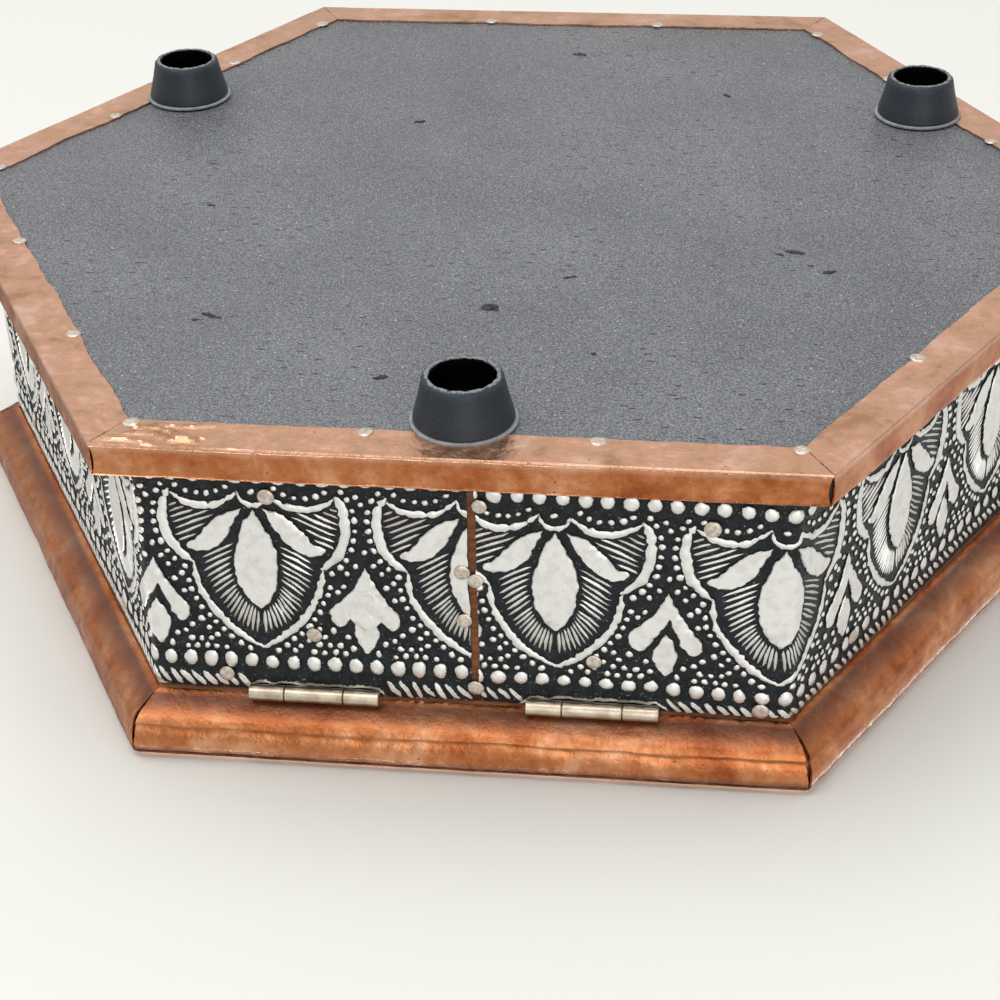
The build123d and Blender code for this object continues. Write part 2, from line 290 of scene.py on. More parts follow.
def copperSheet():
    look = copperLook
    material, add, shader = newMaterial("hand bent copper sheet")
    place = add("TexCoord", out="Object")
    along, across, upright, paintedShade = [add("Attribute", out="Fac", attribute_name=name)
                                     for name in ("along", "across", "face", "paintedShade")]
    drawn = add("Mapping", {"Vector": add("CombineXYZ", (along, across)), "Scale": (0.1, 1, 1)})
    patch = add("TexNoise", {"Vector": place, "Scale": metre / look["patch"], "Detail": 5.0,
                             "Roughness": 0.62, "Distortion": 0.6})
    cloud = add("TexNoise", {"Vector": place, "Scale": metre / look["cloud"], "Detail": 5.0,
                             "Roughness": 0.66})
    streak = add("TexNoise", {"Vector": drawn, "Scale": metre / look["streak"], "Detail": 4.0,
                              "Roughness": 0.7})
    mixed = 0.0
    for layer, share in zip((patch, cloud, streak), look["shares"]):
        mixed = add("Math", (layer, share, mixed), operation="MULTIPLY_ADD")
    # painted light and shade: the flat faces take the lighter tones, the upright faces the darker ones
    flat, face = [add("ValToRGB", {"Fac": mixed}, stops=list(zip(look["toneAt"], look[name])))
                  for name in ("flat", "upright")]
    tone = add("Mix", {0: upright, 6: flat, 7: face}, out=2, data_type="RGBA")
    specks = add("TexVoronoi", {"Vector": place, "Scale": metre / look["speck"]})
    specks = add("MapRange", (specks, 0.05, 0.14, 0.9, 0.0))
    rare = add("MapRange", (cloud, 0.5, 0.6))
    specks = add("Math", (specks, rare), operation="MULTIPLY")
    # painted shade, broken up by clouds, where the lid strip asks for it; with the dark specks it turns the
    # copper dark brown and not metallic
    dirt = add("MapRange", (cloud, 0.35, 0.62, 0.7, 0.95))
    dirt = add("Math", (dirt, paintedShade), operation="MULTIPLY")
    dark = add("Math", (dirt, specks), operation="MAXIMUM")
    grain = add("TexNoise", {"Vector": drawn, "Scale": metre / look["grain"], "Detail": 3.0})
    relief = add("Bump", {"Height": grain, "Strength": 0.22, "Distance": 0.0001})
    fillInputs(shader, {
        "Base Color": add("Mix", {0: dark, 6: tone, 7: colour(look["soot"])}, out=2, data_type="RGBA"),
        "Roughness": add("MapRange", (cloud, 0.35, 0.65, *look["roughness"])),
        "Metallic": add("Math", (1.0, dark), operation="SUBTRACT"),
        "Normal": add("Bump", {"Height": cloud, "Strength": 0.7, "Distance": 0.0005, "Normal": relief})})
    return material


# White metal, embossed, blackened and rubbed: the tops are bare satin silver with ragged edges,
# the ground between them a sooty blue-black with bright flecks
whiteMetalLook = {"silver": "#f5f4ef", "dim": "#eae8e2", "black": "#0f1417", "soot": "#292f32",
                  "ragged": 0.62, "worn": 2.2, "fleck": 0.55, "brush": 0.3}


def whiteMetal():
    look = whiteMetalLook
    material, add, shader = newMaterial("embossed blackened white metal")
    place = add("TexCoord", out="Object")
    rise = add("Attribute", out="Fac", attribute_name="rise")
    ragged = add("TexNoise", {"Vector": place, "Scale": metre / look["ragged"], "Detail": 4.0,
                              "Roughness": 0.7})
    worn = add("TexNoise", {"Vector": place, "Scale": metre / look["worn"], "Detail": 3.0})
    rubbed = add("Math", (ragged, 0.8, rise), operation="MULTIPLY_ADD")
    rubbed = add("Math", (worn, 0.25, rubbed), operation="MULTIPLY_ADD")
    fleck = add("TexNoise", {"Vector": place, "Scale": metre / look["fleck"], "Detail": 2.0,
                             "Roughness": 0.6})
    fleck = add("MapRange", (fleck, 0.65, 0.74, 0.0, 0.45))
    bare = add("Math", (add("MapRange", (rubbed, 1.08, 1.18)), fleck), operation="MAXIMUM")
    silver = add("ValToRGB", {"Fac": worn}, stops=[(0.36, look["dim"]), (0.52, look["silver"])])
    soot = add("ValToRGB", {"Fac": worn}, stops=[(0.42, look["black"]), (0.68, look["soot"])])
    brushed = add("Mapping", {"Vector": place, "Scale": (1, 1, 0.2)})
    brushed = add("TexNoise", {"Vector": brushed, "Scale": metre / look["brush"], "Detail": 2.0})
    relief = add("Bump", {"Height": brushed, "Strength": 0.45, "Distance": 0.0001})
    fillInputs(shader, {
        "Base Color": add("Mix", {0: bare, 6: soot, 7: silver}, out=2, data_type="RGBA"),
        "Metallic": bare, "Roughness": add("MapRange", (bare, 0.0, 1.0, 0.5, 0.46)),
        "Specular IOR Level": 0.3,
        "Normal": add("Bump", {"Height": ragged, "Strength": 0.5, "Distance": 0.0002, "Normal": relief})})
    return material


# Dark paint rolled on board, grey with fine dust: a close grain of light and dark pebbles, short
# black strokes along the board, a few pale specks, and painted shade, near black, on the edges under the
# copper
boardLook = {"grain": [(0.38, "#45474b"), (0.47, "#5b5d61"), (0.54, "#67696d"), (0.63, "#838588")],
             "stroke": "#1b1c20", "dust": "#c4c6c7", "edge": "#060606", "edgeShadeAt": (10.7, 11.1),
             "pebble": 0.42, "broad": 30.0, "speck": 2.6,
             # size of a stroke's cell in mm, its inner and outer edge, and where it comes: dense
             # everywhere, or scattered in patches
             "strokes": [(2.6, 0.08, 0.14, "dense"), (5.0, 0.05, 0.08, "patches")],
             "dense": (0.38, 0.5), "patches": (0.53, 0.59)}


def pebbledPaint():
    look = boardLook
    material, add, shader = newMaterial("grey pebbled paint on board")
    place = add("TexCoord", out="Object")
    pebble = add("TexNoise", {"Vector": place, "Scale": metre / look["pebble"], "Detail": 2.0,
                              "Roughness": 0.6})
    broad = add("TexNoise", {"Vector": place, "Scale": metre / look["broad"], "Detail": 2.0})
    spread = add("Math", (pebble, 0.9), operation="MULTIPLY")
    spread = add("Math", (broad, 0.12, spread), operation="MULTIPLY_ADD")
    tone = add("ValToRGB", {"Fac": spread}, stops=look["grain"])
    lying = add("Mapping", {"Vector": place, "Scale": (0.4, 1.3, 1)})
    strokes = []
    for size, near, far, kind in look["strokes"]:
        spots = add("TexVoronoi", {"Vector": lying, "Scale": metre / size},
                    voronoi_dimensions="3D" if kind == "dense" else "2D")
        spots = add("MapRange", (spots, near, far, 0.9, 0.0))
        some = add("MapRange", (pebble if kind == "dense" else broad, *look[kind]))
        strokes.append(add("Math", (spots, some), operation="MULTIPLY"))
    strokes = add("Math", strokes, operation="MAXIMUM")
    specks = add("TexVoronoi", {"Vector": place, "Scale": metre / look["speck"]})
    dust = add("MapRange", (specks, 0.05, 0.1, 0.7, 0.0))
    # painted shade: the board's sides, up under the copper strips, go near black
    level = add("SeparateXYZ", (place,), out="Z")
    edge = add("MapRange", (level, *[height * mm for height in look["edgeShadeAt"]]))
    for share, name in ((strokes, "stroke"), (dust, "dust"), (edge, "edge")):
        tone = add("Mix", {0: share, 6: tone, 7: colour(look[name])}, out=2, data_type="RGBA")
    fillInputs(shader, {"Base Color": tone, "Roughness": 0.5,
                        "Normal": add("Bump", {"Height": pebble, "Strength": 0.6, "Distance": 0.00016})})
    return material


# Rubber: blue-black with a soft sheen outside, dusty grey and ragged on the worn rim, and painted shade
# in the hollow, pitch black and dull; with fine moulding grain
rubberLook = {"skin": ("#20282f", "#2b343c"), "hollow": ("#000000", "#020202"), "dust": "#7d7e80",
              "grain": 0.5, "gloss": 0.4, "dull": 0.02}


def wornRubber(name, skin, gloss):
    look = rubberLook
    material, add, shader = newMaterial(name)
    place = add("TexCoord", out="Object")
    wear = add("Attribute", out="Fac", attribute_name="wear")
    grain = add("TexNoise", {"Vector": place, "Scale": metre / look["grain"], "Detail": 4.0,
                             "Roughness": 0.7})
    tones = add("ValToRGB", {"Fac": grain}, stops=[(0.4, skin[0]), (0.6, skin[1])])
    edge = add("Math", (grain, 0.9, wear), operation="MULTIPLY_ADD")
    edge = add("MapRange", (edge, 1.1, 1.3))
    fillInputs(shader, {
        "Base Color": add("Mix", {0: edge, 6: tones, 7: colour(look["dust"])}, out=2, data_type="RGBA"),
        "Roughness": 0.42, "Specular IOR Level": gloss,
        "Normal": add("Bump", {"Height": grain, "Strength": 0.5, "Distance": 0.00015})})
    return material


# Plain finishes share one build: a colour that wanders between two tones over patches, a fine bump
# and a roughness; the comment on each row says what it gives the eye
plainLooks = {  # dark, light, patch and grain in mm, roughness, metallic, bump
    # pressed fibre washer: flat grey
    "grey fibre washer": ("#7c7e80", "#909294", 2.0, 0.3, 0.6, 0.0, 0.4),
    # dull nickel plate, handled: warm grey with soft highlights
    "dull nickel plate": ("#b3a48f", "#cfc4b1", 3.0, 0.35, 0.33, 1.0, 0.3),
    # nail heads: pale nickel with a pink cast, hammered flat
    "hammered nail heads": ("#c4b5a6", "#e6dcd0", 0.9, 0.25, 0.42, 0.9, 0.5),
    # dry drops of the board's paint: black and half glossy
    "dried black paint": ("#0f1012", "#24262a", 1.2, 0.3, 0.4, 0.0, 0.5),
    # the lid's rim next to the table, in painted shade: dark brown and matt
    "copper rim in painted shade": ("#4f2815", "#84492a", 3.0, 0.5, 1.0, 0.0, 0.3),
    # zinc plated screw steel: cool and a little brighter
    "zinc plated steel": ("#9a9da0", "#b9bcbf", 2.0, 0.3, 0.35, 1.0, 0.25),
}


def plainFinish(name, **more):
    dark, light, patch, grain, roughness, metallic, bump = plainLooks[name]
    material, add, shader = newMaterial(name)
    place = add("TexCoord", out="Object")
    drift = add("TexNoise", {"Vector": place, "Scale": metre / patch, "Detail": 4.0})
    fine = add("TexNoise", {"Vector": place, "Scale": metre / grain, "Detail": 2.0})
    fillInputs(shader, {
        "Base Color": add("ValToRGB", {"Fac": drift}, stops=[(0.38, dark), (0.62, light)]),
        "Roughness": roughness, "Metallic": metallic,
        "Normal": add("Bump", {"Height": fine, "Strength": bump, "Distance": 0.00012})})
    fillInputs(shader, more)
    return material


# Bare mango wood board: red-brown with fine dark lines along the board, with painted shade, near black,
# in a band at the top of the walls under the lid and behind the hinges
woodLook = {"dark": "#6e3f22", "light": "#a5673c", "soot": "#15100d", "line": 1.1, "stretch": 0.06,
            "shadeFrom": (68.6, 69.8), "shadeTo": (71.7, 71.9)}


def bareWood():
    look = woodLook
    material, add, shader = newMaterial("bare mango wood")
    place = add("TexCoord", out="Object")
    grain = add("Mapping", {"Vector": place, "Scale": (look["stretch"], look["stretch"], 1)})
    lines = add("TexNoise", {"Vector": grain, "Scale": metre / look["line"], "Detail": 4.0,
                             "Roughness": 0.7, "Distortion": 0.4})
    tone = add("ValToRGB", {"Fac": lines}, stops=[(0.36, look["dark"]), (0.6, look["light"])])
    level = add("SeparateXYZ", (place,), out="Z")
    # painted shade: a near black band at the top of the walls, under the lid
    above = add("MapRange", (level, *[height * mm for height in look["shadeFrom"]]))
    under = add("MapRange", (level, *[height * mm for height in look["shadeTo"]], 0.95, 0.0))
    soot = add("Math", (above, under), operation="MULTIPLY")
    fillInputs(shader, {
        "Base Color": add("Mix", {0: soot, 6: tone, 7: colour(look["soot"])}, out=2, data_type="RGBA"),
        "Roughness": 0.62, "Normal": add("Bump", {"Height": lines, "Strength": 0.4, "Distance": 0.0002})})
    return material


# Wool felt: soft deep red with a short pale fuzz and matted fibres
feltLook = {"dark": "#4a0f16", "light": "#6f1c24", "fibre": 0.7, "matting": 6.0}


def woolFelt():
    look = feltLook
    material, add, shader = newMaterial("red wool felt")
    place = add("TexCoord", out="Object")
    fibre = add("TexNoise", {"Vector": place, "Scale": metre / look["fibre"], "Detail": 4.0,
                             "Roughness": 0.8, "Distortion": 1.2})
    matted = add("TexNoise", {"Vector": place, "Scale": metre / look["matting"], "Detail": 3.0})
    tone = add("Math", (fibre, 0.6), operation="MULTIPLY")
    tone = add("Math", (matted, 0.4, tone), operation="MULTIPLY_ADD")
    fillInputs(shader, {
        "Base Color": add("ValToRGB", {"Fac": tone}, stops=[(0.38, look["dark"]), (0.6, look["light"])]),
        "Roughness": 0.95, "Sheen Weight": 0.2, "Sheen Roughness": 0.5, "Specular IOR Level": 0.2,
        "Normal": add("Bump", {"Height": fibre, "Strength": 0.9, "Distance": 0.0004})})
    return material


copper, metal, paint, wood, felt = copperSheet(), whiteMetal(), pebbledPaint(), bareWood(), woolFelt()
rubber = wornRubber("worn black rubber", rubberLook["skin"], rubberLook["gloss"])
rubberHollowShade = wornRubber("painted shade in the rubber hollow", rubberLook["hollow"], rubberLook["dull"])
washerGrey, nickel = plainFinish("grey fibre washer"), plainFinish("dull nickel plate")
headNickel, zinc = plainFinish("hammered nail heads"), plainFinish("zinc plated steel")
lumpPaint = plainFinish("dried black paint")
rimShadeCopper = plainFinish("copper rim in painted shade", **{"Specular IOR Level": 0.05})

# CAD nodes that stay in sight
cadFinishes = {"hinge_body_nails": nickel, "hinge_lid_nails": nickel,
               "hinge_left_pin": nickel, "hinge_right_pin": nickel}
for side in sideTurns:
    cadFinishes["wall_" + side] = cadFinishes["lid_frame_" + side] = wood
for name, material in cadFinishes.items():
    for held in nodes[name].material_slots:
        held.material = material
print("materials made")

# Camera at the photograph's place: the box stood on its lid there, so here the camera looks up
# at the hinge wall from behind and below
cameraPlace = {"location": (0.05257, 0.45652, -0.19475), "turn": (-122.031, -1.172, -6.733), "lens": 78.88}
bpy.ops.object.camera_add(location=cameraPlace["location"],
                          rotation=[radians(angle) for angle in cameraPlace["turn"]])
camera = bpy.context.object
camera.data.lens = cameraPlace["lens"]
camera.data.sensor_width = 36
bpy.context.scene.camera = camera

# Soft studio light: large lamps below for the photograph's side, the same above
lampAim = Vector((0, 0, 0.04))
lamps = {  # place in m, size in m, watts
    "lampPhotoKey": ((-0.25, 0.15, -1.15), 1.3, 12.5),
    "lampPhotoFill": ((0.3, 1.1, -0.25), 0.9, 3.6),
    "lampTopKey": ((-0.35, -0.15, 1.25), 0.9, 13.0),
    "lampTopFill": ((0.15, -0.75, 1.0), 0.9, 8.0),
}
for name, (place, size, watts) in lamps.items():
    bpy.ops.object.light_add(type="AREA", location=place)
    lamp = bpy.context.object
    lamp.name = name
    lamp.data.size = size
    lamp.data.energy = watts
    lamp.visible_camera = False
    lamp.rotation_euler = (lampAim - Vector(place)).to_track_quat("-Z", "Y").to_euler()

# The paper is even to the eye and lights more from the front than from the back; the metal sees it
# darker along the horizon and straight above and below, which shapes the rounded edges, and a dark
# card beyond the box, which keeps the lid's rim from glaring
studio = {"paper": "#f2f2ef", "table": "#dfdfd9", "floor": "#c6c6c0", "front": 1.1, "back": 0.2,
          "card": (-0.3, -0.78, 0.55), "cardEdge": (0.82, 0.94), "cardTone": 0.25,
          "seenByMetal": [(0.0, "#c4c4c4"), (0.3, "#ececec"), (0.62, "#ffffff"), (0.88, "#cccccc"),
                          (1.0, "#a8a8a8")]}


def studioWorld():
    world = bpy.data.worlds.new("studio")
    bpy.context.scene.world = world
    world.use_nodes = True
    world.node_tree.nodes.clear()
    add = partial(addNode, world.node_tree)
    paper = colour(studio["paper"])
    rays = add("LightPath").node.outputs
    way = add("TexCoord", out="Generated")
    steep = add("Math", (add("SeparateXYZ", (way,), out="Z"),), operation="ABSOLUTE")
    bright = add("ValToRGB", {"Fac": steep}, stops=studio["seenByMetal"])
    shine = add("Mix", {0: 1.0, 6: paper, 7: bright}, out=2, data_type="RGBA", blend_type="MULTIPLY")
    card = add("VectorMath", (way, studio["card"]), out="Value", operation="DOT_PRODUCT")
    card = add("MapRange", (card, *studio["cardEdge"], 1.0, studio["cardTone"]),
               interpolation_type="SMOOTHSTEP")
    shine = add("VectorMath", {0: shine, "Scale": card}, operation="SCALE")
    depth = add("SeparateXYZ", (way,), out="Y")
    around = add("MapRange", (depth, -0.5, 0.7, studio["front"], studio["back"]))
    light = add("Mix", {0: rays["Is Glossy Ray"], 6: around, 7: shine}, out=2, data_type="RGBA")
    seen = add("Math", (rays["Is Camera Ray"], rays["Is Transmission Ray"]), operation="MAXIMUM")
    light = add("Mix", {0: seen, 6: light, 7: paper}, out=2, data_type="RGBA")
    add("OutputWorld", {"Surface": add("Background", {"Color": light, "Strength": 1.0})})


studioWorld()
bpy.context.scene.view_settings.view_transform = "Standard"


# The floor under the feet is seen from above only, the table under the lid from below only and while
# it lies level, and each fades into the studio's pale paper
def stagePlane(name, height, facing, reach, fade):
    material = bpy.data.materials.new(name)
    material.use_nodes = True
    material.node_tree.nodes.clear()
    add = partial(addNode, material.node_tree)
    flat = add("VectorMath", (add("TexCoord", out="Object"), (1, 1, 0)), operation="MULTIPLY")
    away = add("VectorMath", (flat,), out="Value", operation="LENGTH")
    clear = add("MapRange", (away, *fade), interpolation_type="SMOOTHSTEP")
    behind = add("NewGeometry", out="Backfacing")
    rise = add("SeparateXYZ", (add("NewGeometry", out="True Normal"),), out="Z")
    level = add("Math", (rise, facing, 0.01), operation="COMPARE")
    for other in (behind, add("Math", (1.0, level), operation="SUBTRACT")):
        clear = add("Math", (clear, other), operation="MAXIMUM")
    matt = add("BsdfDiffuse", {"Color": colour(studio[name])})
    add("OutputMaterial", {"Surface": add("MixShader", (clear, matt, add("BsdfTransparent")))})
    bpy.ops.mesh.primitive_plane_add(size=2 * reach, location=(0, 0, 0))
    plane = bpy.context.object
    plane.name = name
    if facing < 0:
        turnInsideOut(plane)
    plane.data.transform(Matrix.Translation((0, 0, height)))
    plane.data.materials.append(material)
    for ray in ("diffuse", "glossy", "transmission", "shadow", "volume_scatter"):
        setattr(plane, "visible_" + ray, False)
    return plane


stagePlane("floor", 0.0, 1, 3.0, (0.4, 1.7))
table = stagePlane("table", 0.0845, -1, 2.0, (0.2, 1.6))
table.parent = frame["bodies"]["lid"]
print("camera, lamps and stage set")


# Copper strips, bent along their length out of thin sheet
strip = {"thick": 0.4, "pace": 0.75, "rows": 14, "slit": 0.14}
baseFold = {"inner": 109.5, "edge": 119.1, "low": 10.0, "top": 17.4, "ledge": 110.7}
lidFold = {"inner": 108.6, "edge": 118.4, "top": 83.8, "foot": (110.3, 72.05)}
rim = {"high": 82.45, "reach": 116.9}  # where the lid's top edge is painted dark as shade
wrinkles = {  # folds in the flat part: x, reach, width and height in mm; the photograph shows the back ones
    "base back": [((-61.5, 112.6), (-56.5, 112.3), (-51.0, 115.0), 0.4, 0.5),
                  ((-66.0, 116.7), (-61.0, 117.1), (-57.0, 118.0), 0.4, 0.42),
                  ((-62.5, 114.9), (-58.0, 114.2), (-53.0, 116.4), (-47.0, 115.6), 0.35, 0.45),
                  ((-57.5, 110.9), (-52.0, 111.5), (-46.0, 110.6), 0.35, 0.4),
                  ((-53.5, 117.2), (-51.0, 116.2), (-48.0, 117.2), 0.35, 0.45)],
    "base back_left": [((53.0, 117.2), (60.0, 116.4), (65.0, 116.9), 0.35, 0.3),
                       ((56.0, 113.0), (60.5, 114.6), (64.5, 114.2), 0.4, 0.4)],
    "base front": [((30.0, 112.8), (36.0, 114.6), (40.5, 114.0), 0.4, 0.24)],
    "lid front_left": [((-40.0, 111.5), (-33.0, 113.0), (-29.0, 112.2), 0.5, 0.22)],
}


def arc(centre, radius, start, end, steps):
    turns = [radians(start + (end - start) * i / steps) for i in range(1, steps + 1)]
    return [(centre[0] + radius * cos(turn), centre[1] + radius * sin(turn)) for turn in turns]


def straight(start, end, pace=0.9):
    count = max(1, round(hypot(end[0] - start[0], end[1] - start[1]) / pace))
    return [(start[0] + (end[0] - start[0]) * i / count, start[1] + (end[1] - start[1]) * i / count)
            for i in range(1, count + 1)]


# A smooth line through the points given, with further columns such as a width drawn along
def throughPoints(points, steps=5):
    knots = np.array(points, float)
    k = np.concatenate([[2 * knots[0] - knots[1]], knots, [2 * knots[-1] - knots[-2]]])
    drawn = []
    for p, q, s, t in zip(k, k[1:], k[2:], k[3:]):
        for u in np.arange(steps) / steps:
            drawn.append(0.5 * (2 * q + (s - p) * u + (2 * p - 5 * q + 4 * s - t) * u ** 2
                                + (3 * q - p - 3 * s + t) * u ** 3))
    return np.array(drawn + [knots[-1]])


def nearLine(points, line):
    best = np.full(len(points), np.inf)
    for start, end in zip(line, line[1:]):
        (x, y), run = (points[:, :2] - start).T, end - start
        share = np.clip((x * run[0] + y * run[1]) / run.dot(run), 0, 1)
        best = np.minimum(best, np.hypot(x - share * run[0], y - share * run[1]))
    return best


# The profile starts with the flat part, from its cut edge to the bend, and is drawn out from there
def bentStrip(profile):
    inner, outer = profile[0], profile[1]
    length = 2 * slant * max(reach for reach, _ in profile) + 4
    bpy.ops.mesh.primitive_grid_add(x_subdivisions=round(length / strip["pace"]),
                                    y_subdivisions=strip["rows"], size=1)
    bent = bpy.context.object
    startEdit(bent)
    stretch(length * mm, (outer[0] - inner[0]) * mm, 1)
    slide(0, (inner[0] + outer[0]) / 2, inner[1])
    pick(bent, lambda p: p.y > (outer[0] - 0.01) * mm)
    for before, after in zip(profile[1:], profile[2:]):
        drawOut(0, after[0] - before[0], after[1] - before[1])
    for end in (-1, 1):
        mitre = (end * cos(radians(30)), -sin(radians(30)), 0)
        cutAt((-end * strip["slit"] / 2, 0, 0), mitre, clear_outer=True)
    endEdit()
    points = pointsOf(bent)
    setValues(bent, "along", points[:, 0])
    setValues(bent, "across", points[:, 1] + 2 * points[:, 2])
    return bent


# Hand work on a strip, in mm: painted shade on the lid's, in the crevice by the sheet and along its lower
# edge, and how dark it is, the height of its pressed line, how far the cut edge wavers in, and how far a
# mitre gapes
handMarks = {"shadeFrom": 72.15, "shadeTo": 75.3, "edgeShadeFrom": 81.1, "edgeShadeReach": 116.8, "dirt": 0.85,
             "pressed": 77.1, "edge": 3.5, "gape": 0.75, "gapeWidth": 1.6}


def handWork(bent, kind, side, profile, waver):
    marks, inner, facing = handMarks, profile[0], -1 if kind == "base" else 1
    seed = 31 * list(sideTurns).index(side) + inner[1]
    points = pointsOf(bent) / mm
    off = np.abs(points[:, 2] - inner[1])
    level = off < 0.05
    setValues(bent, "face", np.clip((off - 0.3) / 1.5, 0, 1))
    # painted shade on the lid strip: in the crevice a little above its foot by the sheet, and on its lower
    # edge next to the table
    creviceShade = (np.clip((marks["shadeTo"] - points[:, 2]) / 2.4, 0, 1)
             * np.clip((points[:, 2] - marks["shadeFrom"]) / 0.4, 0, 1))
    worn = np.clip((points[:, 2] - marks["edgeShadeFrom"]) / 1.2, 0, 1) * (points[:, 1] > marks["edgeShadeReach"])
    setValues(bent, "paintedShade", marks["dirt"] * np.maximum(creviceShade, worn) * (kind == "lid"))
    sway = np.array([noise.noise((x / 15, seed, 0)) + 0.35 * noise.noise((x / 3.2, seed, 5))
                     for x in points[:, 0]])
    pressed = np.exp(-((points[:, 2] - marks["pressed"]) / 1.3) ** 2)
    points[:, 2] += 0.9 * sway * pressed * (kind == "lid")
    weight = np.clip(1 - (points[:, 1] - inner[0]) / marks["edge"], 0, 1) * level
    points[:, 1] += waver * weight * sway
    for *line, width, height in wrinkles.get(kind + " " + side, ()):
        rise = height * np.exp(-(nearLine(points, throughPoints(line, 8)) / width) ** 2)
        points[:, 2] += facing * rise * level
    ends = slant * points[:, 1] - np.abs(points[:, 0])
    low, high = sorted((inner[1], profile[-1][1]))
    middle = np.clip((points[:, 2] - low) / (high - low), 0, 1)
    gape = marks["gape"] * np.sin(pi * middle) * np.exp(-(ends / marks["gapeWidth"]) ** 2) * (1 - level)
    points[:, 0] -= np.sign(points[:, 0]) * gape
    for name, members in (("flat", level), ("upright", ~level)):
        bent.vertex_groups.new(name=name).add([int(i) for i in np.flatnonzero(members)], 1.0, "REPLACE")
    setPoints(bent, points * mm)


def faceOutwards(bent, way):
    total = sum((face.normal * face.area for face in bent.data.polygons), Vector((0, 0, 0)))
    if total.dot(Vector(way)) < 0:
        turnInsideOut(bent)


def withinReach(bent, side, least, most):
    out = outwards(sideTurns[side])
    points = pointsOf(bent)
    reach = points[:, 0] * out.x + points[:, 1] * out.y
    kept = np.where(reach > most * mm - 0.6 * mm, np.clip(reach, least * mm, most * mm), reach)
    setPoints(bent, points + (kept - reach)[:, None] * np.array([[out.x, out.y, 0]]))


waves = {"long": cloudTexture("long dents", 30, 1), "dent": cloudTexture("dents", 8, 2),
         "crease": cloudTexture("creases", 2.2, 2)}


def copperStrip(kind, side, profile, way, body, dents):
    bent = bentStrip(profile)
    faceOutwards(bent, way)
    handWork(bent, kind, side, profile, dents["waver"])
    bent.data.transform(turnZ(sideTurns[side]))
    for name, texture in waves.items():
        ripple(bent, texture, dents[name], "NORMAL", group="upright", middle=0.62)
        ripple(bent, texture, dents[name] * 0.5, "NORMAL", group="flat", middle=0.1)
    applyModifiers(bent)
    withinReach(bent, side, dents["least"], dents["most"])
    thicken(bent, strip["thick"])
    finishPiece(bent, kind + "Strip" + titled(side), body, "copper", copper, kind + "_strip_" + side,
                angle=50)
    # the lid's top edge, next to the table, takes the rim's painted shade
    if kind == "lid":
        bent.data.materials.append(rimShadeCopper)
        for face in bent.data.polygons:
            if (face.center.z > rim["high"] * mm
                    and face.center.dot(outwards(sideTurns[side])) > rim["reach"] * mm):
                face.material_index = 1


# The base strip's bend is pinched into a fine ridge with its face a little behind it
def baseProfile():
    b = baseFold
    edge, low, top = b["edge"], b["low"], b["top"]
    return ([(b["inner"], low), (edge - 0.9, low), (edge - 0.35, low - 0.04), (edge - 0.05, low + 0.1),
             (edge, low + 0.34), (edge - 0.16, low + 0.6), (edge - 0.26, low + 0.95)]
            + straight((edge - 0.26, low + 0.95), (edge - 0.2, top - 1.4))
            + arc((edge - 1.6, top - 1.4), 1.4, 0, 90, 5)
            + straight((edge - 1.6, top), (b["ledge"], top), 1.8))


# The lid strip swells from the hinge line to a rounded nose and a face that bulges a little; the
# hinge side has a pressed line above its face
def lidProfile(pressed):
    l = lidFold
    swell = [(0.2, 81.9), (0, 81.0), (0.05, 79.6), (0.35, 78.3), (0.5 + pressed, 77.5),
             (0.66 + 1.15 * pressed, 77.0), (0.84, 76.4), (1.15, 75.8), (1.8, 75.0), (3.0, 74.15),
             (4.5, 73.4), (6.0, 72.75), (7.3, 72.25)]
    swell = [(l["edge"] - inwards, level) for inwards, level in swell] + [l["foot"]]
    return ([(l["inner"], l["top"]), (l["edge"] - 1.9, l["top"])]
            + arc((l["edge"] - 1.9, l["top"] - 1.7), 1.7, 90, 8, 6)
            + [tuple(point) for point in throughPoints(swell, 3)[1:]])


baseDents = {"waver": 0.9, "long": 0.3, "dent": 0.25, "crease": 0.08, "least": 118.68, "most": 119.15}
lidDents = {"waver": 0.6, "long": 0.4, "dent": 0.4, "crease": 0.1, "least": 117.6, "most": 118.4}
for side in sideTurns:
    copperStrip("base", side, baseProfile(), (0, 1, -1), "case", baseDents)
    copperStrip("lid", side, lidProfile(0.24 if side == "back" else 0.0), (0, 1, 1), "lid", lidDents)
print("copper strips bent")


